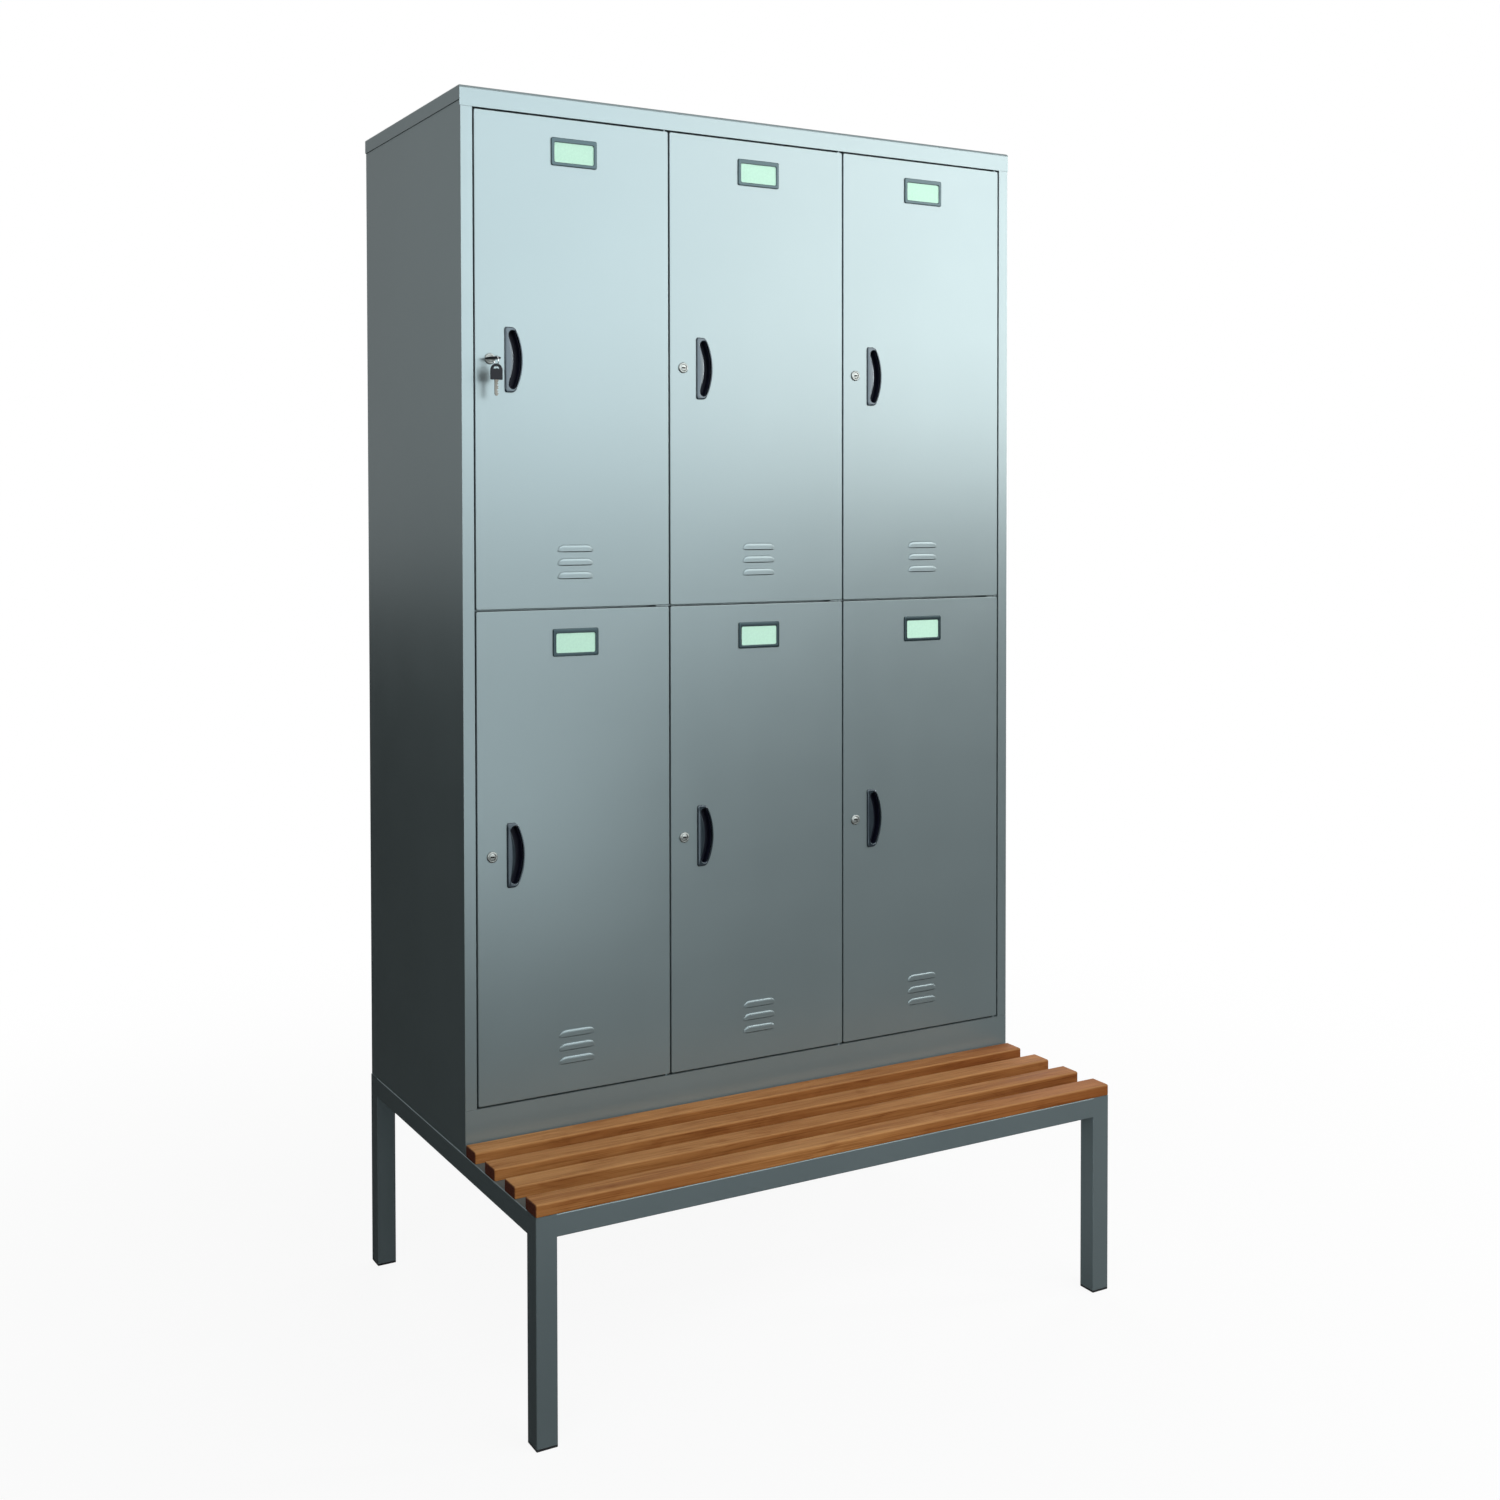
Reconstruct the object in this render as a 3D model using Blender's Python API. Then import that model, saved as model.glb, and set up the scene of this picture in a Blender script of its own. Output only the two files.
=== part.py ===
"""Steel locker with six doors on a tubular stand, with a slatted wooden bench in front.

Metres, +Z up. X runs along the front, Y from the bench back to the wall.
The origin is on the floor, at the middle of the whole object's length and depth.
"""

import math

import bmesh
import bpy

# Overall sizes of the locker body, the bench and its seat
BODY_WIDTH = 1.150
BODY_DEPTH = 0.510
BODY_HEIGHT = 1.800
BENCH_DEPTH = 0.305
SEAT_HEIGHT = 0.385
COLUMNS = 3
ROWS = 2

# Air between two pieces that touch, and how far a cutter runs past what it cuts
SEAM = 0.0003
OVERRUN = 0.002

# Folded sheet steel
SHEET = 0.001
CAP_BEND = 0.006
CAP_EDGE_BEND = 0.002
SKIRT_HEIGHT = 0.025
HEAD_HEIGHT = 0.035
PLINTH_HEIGHT = 0.075
PLINTH_RETURN = 0.020
STILE_WIDTH = 0.022
REAR_FLANGE = 0.020
SIDE_FOOT = 0.030
PAN_FLANGE = 0.040
PARTITION_FLANGE = 0.015
SHELF_FLANGE = 0.015

# Doors, and the stops that they close against
DOOR_GAP = 0.003
DOOR_DEPTH = 0.019
DOOR_BEND = 0.0015
DOOR_LIP = 0.012
STOP_CLEARANCE = 0.002
STOP_OVERLAP = 0.011

# Pivot pins at the right edge of each door, and the tabs that carry the middle ones
PIVOT_INSET = 0.0055
PIN_RADIUS = 0.0025
PIN_REACH = 0.010
PIN_CLEARANCE = 0.0003
TAB_THICKNESS = 0.0015
TAB_LENGTH = 0.026
TAB_MARGIN = 0.0007

# Louvres pressed outwards near the foot of each door
LOUVRES = 3
LOUVRE_WIDTH = 0.068
LOUVRE_HEIGHT = 0.0115
LOUVRE_BULGE = 0.005
LOUVRE_END = 0.010
LOUVRE_PITCH = 0.0232
LOUVRE_RISE = 0.051

# Recessed pull: a D-shaped plate with a curved finger pocket
PULL_INSET = 0.053
PULL_DROP = 0.417
PULL_WIDTH = 0.0325
PULL_HEIGHT = 0.111
PULL_ARC = 0.116
PULL_SHOULDER = 0.010
PULL_STAND = 0.003
PULL_CHAMFER = 0.0022
PULL_RIM = 0.004
PULL_DEPTH = 0.014
PULL_WALL = 0.0015
POCKET_WIDTH = 0.014
POCKET_RIM = 0.003
POCKET_MARGIN = 0.006
POCKET_FLOOR = 0.002
LIP_THICKNESS = 0.0015

# Cam lock beside the pull
LOCK_INSET = 0.0265
BEZEL_RADIUS = 0.0095
BEZEL_STAND = 0.0025
BEZEL_ROUND = 0.0008
BARREL_RADIUS = 0.008
LOCK_CLEARANCE = 0.0003
NUT_RADIUS = 0.011
NUT_THICKNESS = 0.003
PLUG_RADIUS = 0.006
PLUG_RECESS = 0.0008
CAM_WIDTH = 0.014
CAM_THICKNESS = 0.002
CAM_CLEARANCE = 0.0015
CAM_BITE = 0.007
SCREW_RADIUS = 0.004
SCREW_HEIGHT = 0.0025

# Keys and their ring
KEYWAY_CLEARANCE = 0.0003
KEYWAY_DEPTH = 0.016
BLADE_WIDTH = 0.007
BLADE_THICKNESS = 0.002
BLADE_INSERT = 0.015
BLADE_LENGTH = 0.027
BLADE_NECK = 0.002
BOW_WIDTH = 0.0215
BOW_LENGTH = 0.027
BOW_THICKNESS = 0.003
BOW_HOLE = 0.0034
BOW_RIM = 0.004
BOW_ROUND = 0.008
RING_RADIUS = 0.009
RING_WIRE = 0.0007

# Label holder
LABEL_WIDTH = 0.086
LABEL_HEIGHT = 0.048
LABEL_DROP = 0.033
LABEL_THICKNESS = 0.0025
LABEL_ROUND = 0.003
WINDOW_WIDTH = 0.074
WINDOW_HEIGHT = 0.034
WINDOW_ROUND = 0.004
WINDOW_SHIFT = 0.001
CARD_MARGIN = 0.003
CARD_RECESS = 0.0009

# Coat hooks under each compartment's ceiling
HOOK_DROP = 0.050
HOOK_RADIUS = 0.011
HOOK_TIP = 0.008
HOOK_STRIP = 0.0025
HOOK_WIDTH = 0.014

# Square tube of the stand, with a plastic plug in each foot
TUBE = 0.036
TUBE_WALL = 0.0015
TUBE_CORNER = 0.003
PLUG_FLANGE = 0.004
PLUG_STUB = 0.020
PLUG_CLEARANCE = 0.0003
CROSS_RAIL_SETBACK = 0.005

# Bench slats
SLATS = 4
SLAT_WIDTH = 0.042
SLAT_THICKNESS = 0.020
SLAT_ROUND = 0.003
SLAT_BACK_GAP = 0.005

# Numbers of sides on round shapes
PIN_SIDES = 10
LOCK_SIDES = 16
HEX_SIDES = 6
RING_SIDES = 24
WIRE_SIDES = 6
CORNER_STEPS = 2
ARC_STEPS = 8
SMOOTH_ANGLE = math.radians(35.0)

# Places that follow from the sizes above
LEFT = -BODY_WIDTH / 2
RIGHT = BODY_WIDTH / 2
BENCH_FRONT = -(BENCH_DEPTH + BODY_DEPTH) / 2
FRONT = BENCH_FRONT + BENCH_DEPTH
REAR = FRONT + BODY_DEPTH
RAIL_TOP = SEAT_HEIGHT - SLAT_THICKNESS
TOP = RAIL_TOP + BODY_HEIGHT
OPENING_TOP = TOP - HEAD_HEIGHT
OPENING_BOTTOM = RAIL_TOP + PLINTH_HEIGHT
BODY_BOTTOM = RAIL_TOP + SEAM

WALL_OUTER = SHEET + SEAM
WALL_INNER = WALL_OUTER + SHEET
STOP_FRONT = DOOR_DEPTH + STOP_CLEARANCE
STOP_BACK = STOP_FRONT + SHEET
BACK_PANEL_REAR = BODY_DEPTH - WALL_INNER - SEAM
BACK_PANEL_FRONT = BACK_PANEL_REAR - SHEET
INNER_DEPTH = BACK_PANEL_FRONT - SEAM
HEAD_STOP = DOOR_GAP + STOP_OVERLAP

OPENING_WIDTH = BODY_WIDTH - 2 * STILE_WIDTH
OPENING_HEIGHT = OPENING_TOP - OPENING_BOTTOM
DOOR_WIDTH = (OPENING_WIDTH - (COLUMNS + 1) * DOOR_GAP) / COLUMNS
DOOR_HEIGHT = (OPENING_HEIGHT - (ROWS + 1) * DOOR_GAP) / ROWS


def reset_scene():
    """Start from an empty scene."""
    for old in list(bpy.data.objects):
        bpy.data.objects.remove(old, do_unlink=True)


def material(name, colour, roughness, metallic=0.0):
    """One Principled material with a plain colour."""
    made = bpy.data.materials.new(name)
    made.use_nodes = True
    shader = made.node_tree.nodes["Principled BSDF"]
    shader.inputs["Base Color"].default_value = (*colour, 1.0)
    shader.inputs["Roughness"].default_value = roughness
    shader.inputs["Metallic"].default_value = metallic
    made.diffuse_color = (*colour, 1.0)
    return made


def make_object(name, shape, finish=None):
    """Turn a bmesh into a linked object with outward normals."""
    bmesh.ops.recalc_face_normals(shape, faces=shape.faces[:])
    mesh = bpy.data.meshes.new(name)
    shape.to_mesh(mesh)
    shape.free()
    made = bpy.data.objects.new(name, mesh)
    bpy.context.scene.collection.objects.link(made)
    if finish is not None:
        mesh.materials.append(finish)
    return made


def place(axis, first, second, along):
    """A point of an outline, set at a distance along the axis that it is extruded on."""
    if axis == "X":
        return (along, first, second)
    if axis == "Y":
        return (first, along, second)
    return (first, second, along)


def loft(rings, name="tool", finish=None):
    """A closed solid through rings of points that all have the same count."""
    shape = bmesh.new()
    made = [[shape.verts.new(point) for point in ring] for ring in rings]
    for lower, upper in zip(made, made[1:]):
        for i, corner in enumerate(lower):
            j = (i + 1) % len(lower)
            shape.faces.new((corner, lower[j], upper[j], upper[i]))
    shape.faces.new(made[0][::-1])
    shape.faces.new(made[-1])
    return make_object(name, shape, finish)


def prism(outline, axis, low, high, name="tool", finish=None):
    """Extrude a flat outline along an axis."""
    rings = [[place(axis, a, b, along) for a, b in outline] for along in (low, high)]
    return loft(rings, name, finish)


def block(low, high, name="tool", finish=None):
    """A box between two corners."""
    outline = [(low[0], low[1]), (high[0], low[1]), (high[0], high[1]), (low[0], high[1])]
    return prism(outline, "Z", low[2], high[2], name, finish)


def round_edges(made, radius, wanted, steps=CORNER_STEPS):
    """Bevel the edges whose two ends satisfy a test."""
    shape = bmesh.new()
    shape.from_mesh(made.data)
    edges = [edge for edge in shape.edges if wanted(edge.verts[0].co, edge.verts[1].co)]
    bmesh.ops.bevel(shape, geom=edges, offset=radius, segments=steps, profile=0.5,
                    affect="EDGES", clamp_overlap=True)
    shape.to_mesh(made.data)
    shape.free()
    return made


def combine(made, tools, operation):
    """Apply one Boolean for each tool, and remove the tools."""
    for tool in tools:
        step = made.modifiers.new(operation, "BOOLEAN")
        step.operation = operation
        step.solver = "EXACT"
        step.object = tool
        bpy.context.view_layer.update()
        depsgraph = bpy.context.evaluated_depsgraph_get()
        result = bpy.data.meshes.new_from_object(made.evaluated_get(depsgraph))
        made.modifiers.clear()
        result.name = made.name
        made.data = result
        bpy.data.objects.remove(tool, do_unlink=True)
    return made


def cut(made, *tools):
    """Cut the tools out of a piece."""
    return combine(made, tools, "DIFFERENCE")


def weld(made, *tools):
    """Join overlapping shapes to a piece."""
    return combine(made, tools, "UNION")


def smooth(made):
    """Shade the round stretches smooth and keep the creases."""
    made.data.shade_smooth()
    made.data.set_sharp_from_angle(angle=SMOOTH_ANGLE)
    return made


def circle(radius, sides, centre=(0.0, 0.0)):
    """Points of a regular polygon."""
    turn = 2 * math.pi / sides
    return [(centre[0] + radius * math.cos(i * turn), centre[1] + radius * math.sin(i * turn))
            for i in range(sides)]


def arc(centre, radius, start, end, steps):
    """Points along an arc, both ends included, angles in radians."""
    angles = [start + (end - start) * i / steps for i in range(steps + 1)]
    return [(centre[0] + radius * math.cos(a), centre[1] + radius * math.sin(a)) for a in angles]


def rounded_rectangle(width, height, radius, centre=(0.0, 0.0), steps=CORNER_STEPS):
    """Outline of a rectangle with round corners."""
    points = []
    for quarter, (sx, sy) in enumerate(((1, 1), (-1, 1), (-1, -1), (1, -1))):
        middle = (centre[0] + sx * (width / 2 - radius), centre[1] + sy * (height / 2 - radius))
        start = quarter * math.pi / 2
        points += arc(middle, radius, start, start + math.pi / 2, steps)
    return points


def column_left(column):
    """X of the left edge of a column's doors."""
    return LEFT + STILE_WIDTH + DOOR_GAP + column * (DOOR_WIDTH + DOOR_GAP)


def row_bottom(row):
    """Z of the lower edge of a row's doors, the top row first."""
    return OPENING_TOP - (row + 1) * (DOOR_GAP + DOOR_HEIGHT)


def pivot_x(column):
    """X of a column's hinge axis."""
    return column_left(column) + DOOR_WIDTH - PIVOT_INSET


def partition_x(index):
    """X of the middle of the gap to the right of a column."""
    return column_left(index) + DOOR_WIDTH + DOOR_GAP / 2


def shelf_z(index):
    """Z of the middle of the gap under a row."""
    return row_bottom(index) - DOOR_GAP / 2


def bay(column):
    """X of the two walls that bound a column's compartments, clear of their sheet."""
    left = LEFT + WALL_INNER if column == 0 else partition_x(column - 1) + SHEET / 2
    right = RIGHT - WALL_INNER if column == COLUMNS - 1 else partition_x(column) - SHEET / 2
    return left, right


def hook_tool(x, ceiling):
    """Double coat hook bent from strip, its stem sunk halfway into the sheet above it."""
    half = HOOK_STRIP / 2
    knee = ceiling - HOOK_DROP + HOOK_RADIUS + half
    cusp = math.acos(HOOK_RADIUS / (HOOK_RADIUS + half))
    side = [(half, ceiling + SHEET / 2), (half, knee)]
    centre = (HOOK_RADIUS, knee)
    side += arc(centre, HOOK_RADIUS - half, math.pi, 2 * math.pi, 5)[1:]
    side += [(2 * HOOK_RADIUS - half, knee + HOOK_TIP), (2 * HOOK_RADIUS + half, knee + HOOK_TIP)]
    side += arc(centre, HOOK_RADIUS + half, 2 * math.pi, math.pi + cusp, 6)
    mirrored = [(-a, b) for a, b in side[:-1]]
    outline = [(x + a, b) for a, b in side + mirrored[::-1]]
    middle = FRONT + BODY_DEPTH / 2
    return prism(outline, "Y", middle - HOOK_WIDTH / 2, middle + HOOK_WIDTH / 2)


def pin_tool(column, low, high):
    """Pivot pin on a column's hinge axis."""
    outline = circle(PIN_RADIUS, PIN_SIDES, (pivot_x(column), FRONT + PIVOT_INSET))
    return prism(outline, "Z", low, high)


def is_along(axis, first, second):
    """True for an edge that runs along one axis."""
    others = [i for i in range(3) if i != axis]
    return all(abs(first[i] - second[i]) < SEAM for i in others)


def build_top_cap(finish):
    """Lid folded down over the sides, its front forming the head of the door frame."""
    cap = block((LEFT, FRONT, OPENING_TOP), (RIGHT, REAR, TOP), "top_cap", finish)

    def at_front_top(a, b):
        return is_along(0, a, b) and a.z > TOP - SEAM and a.y < FRONT + SEAM

    def at_other_top(a, b):
        return a.z > TOP - SEAM and b.z > TOP - SEAM and not at_front_top(a, b)

    round_edges(cap, CAP_EDGE_BEND, at_other_top)
    round_edges(cap, CAP_BEND, at_front_top)
    hollow = block((LEFT + SHEET, FRONT + SHEET, OPENING_TOP - OVERRUN),
                   (RIGHT - SHEET, REAR - SHEET, TOP - SHEET))
    round_edges(hollow, CAP_BEND - SHEET,
                lambda a, b: is_along(0, a, b) and a.z > TOP - 2 * SHEET and a.y < FRONT + 2 * SHEET)
    trim = block((LEFT - OVERRUN, FRONT + WALL_OUTER, OPENING_TOP - OVERRUN),
                 (RIGHT + OVERRUN, REAR + OVERRUN, TOP - SKIRT_HEIGHT))
    cut(cap, hollow, trim)
    rest = OPENING_TOP
    fold = [(FRONT + SHEET / 2, rest), (FRONT + STOP_FRONT, rest),
            (FRONT + STOP_FRONT, rest - HEAD_STOP), (FRONT + STOP_BACK, rest - HEAD_STOP),
            (FRONT + STOP_BACK, rest + SHEET), (FRONT + SHEET / 2, rest + SHEET)]
    head = prism(fold, "X", LEFT + WALL_INNER + SEAM, RIGHT - WALL_INNER - SEAM)
    reach = STILE_WIDTH + SEAM
    for low, high in ((LEFT - OVERRUN, LEFT + reach), (RIGHT - reach, RIGHT + OVERRUN)):
        cut(head, block((low, FRONT - OVERRUN, rest - HEAD_STOP - OVERRUN),
                        (high, REAR, rest - SEAM)))
    weld(cap, head)
    for column in range(COLUMNS):
        weld(cap, pin_tool(column, rest - DOOR_GAP - PIN_REACH, rest + SHEET / 2))
        weld(cap, hook_tool(sum(bay(column)) / 2, TOP - SHEET))
    return cap


def build_base_pan(finish):
    """Floor of the lower compartments, folded down at the front as the plinth."""
    floor = OPENING_BOTTOM
    back = FRONT + INNER_DEPTH
    low_flange = floor - PAN_FLANGE
    fold = FRONT + STOP_BACK
    outline = [(FRONT, BODY_BOTTOM), (FRONT + PLINTH_RETURN, BODY_BOTTOM),
               (FRONT + PLINTH_RETURN, BODY_BOTTOM + SHEET), (FRONT + SHEET, BODY_BOTTOM + SHEET),
               (FRONT + SHEET, floor - SHEET), (fold, floor - SHEET),
               (fold, low_flange), (back, low_flange), (back, floor), (FRONT, floor)]
    inner = WALL_INNER + SEAM
    pan = prism(outline, "X", LEFT + WALL_OUTER, RIGHT - WALL_OUTER, "base_pan", finish)
    wall = BODY_WIDTH / 2 - inner
    cut(pan, block((SHEET - wall, fold - OVERRUN, low_flange - OVERRUN),
                   (wall - SHEET, back - SHEET, floor - SHEET)))
    for side in (-1, 1):
        notch = side * (BODY_WIDTH / 2 - WALL_OUTER - SIDE_FOOT - SEAM)
        low, high = sorted((side * (BODY_WIDTH / 2 + OVERRUN), side * wall))
        cut(pan, block((low, FRONT + SHEET, BODY_BOTTOM - OVERRUN), (high, REAR, floor + OVERRUN)))
        low, high = sorted((side * (BODY_WIDTH / 2 + OVERRUN), notch))
        cut(pan, block((low, FRONT + SHEET + SEAM, BODY_BOTTOM - OVERRUN),
                       (high, FRONT + PLINTH_RETURN + OVERRUN, BODY_BOTTOM + SHEET + SEAM)))
    for column in range(COLUMNS):
        weld(pan, pin_tool(column, floor - SHEET / 2, floor + DOOR_GAP + PIN_REACH))
    return pan


def build_side_panel(name, side, finish):
    """Side of the locker, folded at the front into the stile and its door stop."""

    def x(inset):
        return side * (BODY_WIDTH / 2 - inset)

    def y(depth):
        return FRONT + depth

    end = BODY_DEPTH - WALL_OUTER
    stop = STILE_WIDTH + HEAD_STOP
    outline = [(x(WALL_OUTER), y(0)), (x(STILE_WIDTH), y(0)), (x(STILE_WIDTH), y(STOP_FRONT)),
               (x(stop), y(STOP_FRONT)), (x(stop), y(STOP_BACK)),
               (x(STILE_WIDTH - SHEET), y(STOP_BACK)), (x(STILE_WIDTH - SHEET), y(SHEET)),
               (x(WALL_INNER), y(SHEET)), (x(WALL_INNER), y(end - SHEET)),
               (x(WALL_OUTER + REAR_FLANGE), y(end - SHEET)), (x(WALL_OUTER + REAR_FLANGE), y(end)),
               (x(WALL_OUTER), y(end))]
    top = TOP - SHEET - SEAM
    panel = prism(outline, "Z", BODY_BOTTOM, top, name, finish)

    def trim(inset_low, inset_high, depth_low, depth_high, low, high):
        ends = sorted((x(inset_low), x(inset_high)))
        cut(panel, block((ends[0], y(depth_low), low), (ends[1], y(depth_high), high)))

    head = OPENING_TOP - SEAM
    sill = OPENING_BOTTOM + SEAM
    past = STOP_BACK + OVERRUN
    inside = WALL_INNER + SEAM
    trim(-OVERRUN, STILE_WIDTH + OVERRUN, -OVERRUN, WALL_OUTER, head, top + OVERRUN)
    trim(-OVERRUN, STILE_WIDTH + OVERRUN, -OVERRUN, WALL_OUTER, BODY_BOTTOM - OVERRUN, sill)
    trim(-OVERRUN, STILE_WIDTH + OVERRUN, -OVERRUN, CAP_BEND, TOP - CAP_BEND, top + OVERRUN)
    trim(inside, stop + OVERRUN, -OVERRUN, past, head, top + OVERRUN)
    trim(inside, stop + OVERRUN, -OVERRUN, past, BODY_BOTTOM - OVERRUN, sill)
    trim(STILE_WIDTH + SEAM, stop + OVERRUN, STOP_FRONT - OVERRUN, past, head - HEAD_STOP, head + OVERRUN)
    ends = sorted((x(WALL_OUTER + SHEET / 2), x(WALL_OUTER + SIDE_FOOT)))
    weld(panel, block((ends[0], y(WALL_OUTER), BODY_BOTTOM), (ends[1], y(end - SHEET / 2), BODY_BOTTOM + SHEET)))
    return panel


def build_back_panel(finish):
    """Plain sheet that closes the back, inside the flanges of the sides."""
    inner = WALL_INNER + SEAM
    return block((LEFT + inner, FRONT + BACK_PANEL_FRONT, BODY_BOTTOM + SHEET + SEAM),
                 (RIGHT - inner, FRONT + BACK_PANEL_REAR, TOP - SHEET - SEAM), "back_panel", finish)


def build_partition(name, index, finish):
    """Upright between two columns, with a T-shaped stop at its front edge."""
    middle = partition_x(index)
    half = SHEET / 2
    stop = DOOR_GAP / 2 + STOP_OVERLAP
    back = INNER_DEPTH
    outline = [(-stop, STOP_FRONT), (stop, STOP_FRONT), (stop, STOP_BACK), (half, STOP_BACK),
               (half, back - SHEET), (PARTITION_FLANGE, back - SHEET), (PARTITION_FLANGE, back),
               (-half, back), (-half, STOP_BACK), (-stop, STOP_BACK)]
    placed = [(middle + a, FRONT + b) for a, b in outline]
    top = TOP - SHEET - SEAM
    panel = prism(placed, "Z", OPENING_BOTTOM + SEAM, top, name, finish)
    cut(panel, block((middle - stop - OVERRUN, FRONT, OPENING_TOP - HEAD_STOP - SEAM),
                     (middle + stop + OVERRUN, FRONT + STOP_BACK + SEAM, top + OVERRUN)))
    return panel


def build_shelf(name, column, row, finish):
    """Fixed shelf between an upper and a lower compartment, with the tab of two pivots."""
    low, high = bay(column)
    low += SEAM
    high -= SEAM
    middle = shelf_z(row)
    half = SHEET / 2
    back = FRONT + INNER_DEPTH - SHEET - SEAM
    drop = middle + half - SHELF_FLANGE
    section = [(low, drop), (low + SHEET, drop), (low + SHEET, middle - half),
               (high - SHEET, middle - half), (high - SHEET, drop), (high, drop),
               (high, middle + half), (low, middle + half)]
    shelf = prism(section, "Y", FRONT + STOP_BACK + SEAM, back, name, finish)
    stop = DOOR_GAP / 2 + STOP_OVERLAP
    edge = STILE_WIDTH + HEAD_STOP + SEAM
    left = LEFT + edge if column == 0 else partition_x(column - 1) + stop + SEAM
    right = RIGHT - edge if column == COLUMNS - 1 else partition_x(column) - stop - SEAM
    nose = [(FRONT + STOP_FRONT, middle - stop), (FRONT + STOP_BACK, middle - stop),
            (FRONT + STOP_BACK, middle - half), (FRONT + STOP_BACK + SHELF_FLANGE, middle - half),
            (FRONT + STOP_BACK + SHELF_FLANGE, middle + half), (FRONT + STOP_BACK, middle + half),
            (FRONT + STOP_BACK, middle + stop), (FRONT + STOP_FRONT, middle + stop)]
    weld(shelf, prism(nose, "X", left, right))
    axis = pivot_x(column)
    tip = axis + PIVOT_INSET
    tail = FRONT + STOP_FRONT - SEAM
    tab = [(tip - TAB_LENGTH, FRONT + TAB_MARGIN), (tip, FRONT + TAB_MARGIN), (tip, tail),
           (right, tail), (right, FRONT + STOP_FRONT + half), (tip - TAB_LENGTH, FRONT + STOP_FRONT + half)]
    thin = TAB_THICKNESS / 2
    weld(shelf, prism(tab, "Z", middle - thin, middle + thin))
    reach = DOOR_GAP / 2 + PIN_REACH
    weld(shelf, pin_tool(column, middle - reach, middle + reach))
    weld(shelf, hook_tool(sum(bay(column)) / 2, middle - half))
    return shelf


def louvre_tool(x, z, inside):
    """The outside of a pressed louvre, or the hollow under it, open at its foot."""
    inset = SHEET if inside else 0.0
    top = LOUVRE_HEIGHT - inset
    bulge = LOUVRE_BULGE - inset
    back = SHEET + OVERRUN if inside else SHEET / 2
    ends = []
    for turn_share in (0.96, 0.7, 0.35, 0.0):
        angle = turn_share * math.pi / 2
        along = LOUVRE_WIDTH / 2 - inset - LOUVRE_END * (1 - math.sin(angle))
        ends.append((along, math.cos(angle)))
    rings = []
    for along, scale in [(-a, b) for a, b in ends] + ends[::-1]:
        shell = arc((0.0, 0.0), 1.0, math.pi / 2, math.pi, 3)[1:]
        ring = [(x + along, a * bulge * scale, z + b * top * scale) for a, b in shell]
        if inside:
            ring.append((x + along, -bulge * scale, z - SHEET / 2))
        ring.append((x + along, back, ring[-1][2]))
        ring.append((x + along, back, z + top * scale))
        rings.append(ring)
    return loft(rings)


def pull_outline(offset):
    """D shape of the pull seen from the front, drawn in by an offset on every side."""
    radius = PULL_ARC - offset
    shoulder = PULL_SHOULDER - offset
    top = PULL_HEIGHT / 2 - offset
    hub = PULL_WIDTH - PULL_ARC
    across = hub + math.sqrt((radius - shoulder) ** 2 - (top - shoulder) ** 2)
    turn = math.atan2(top - shoulder, across - hub)
    upper = arc((across, top - shoulder), shoulder, math.pi / 2, turn, 3)
    side = arc((hub, 0.0), radius, turn, -turn, ARC_STEPS)[1:-1]
    lower = [(a, -b) for a, b in upper[::-1]]
    return [(offset, -top), (offset, top)] + upper + side + lower


def pocket_outline():
    """Curved finger pocket with round ends, following the outer edge of the pull."""
    half = POCKET_WIDTH / 2
    hub = PULL_WIDTH - PULL_ARC
    radius = PULL_ARC - POCKET_RIM - half
    turn = math.asin((PULL_HEIGHT / 2 - POCKET_MARGIN - half) / radius)
    upper = (hub + radius * math.cos(turn), radius * math.sin(turn))
    lower = (upper[0], -upper[1])
    points = arc((hub, 0.0), radius + half, -turn, turn, ARC_STEPS)
    points += arc(upper, half, turn, turn + math.pi, 6)[1:-1]
    points += arc((hub, 0.0), radius - half, turn, -turn, ARC_STEPS)
    points += arc(lower, half, -turn + math.pi, -turn + 2 * math.pi, 6)[1:-1]
    return points


def along_front(outline, x, z, y_low, y_high):
    """Extrude an outline that is drawn in the plane of the doors."""
    return prism([(x + a, z + b) for a, b in outline], "Y", y_low, y_high)


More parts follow.
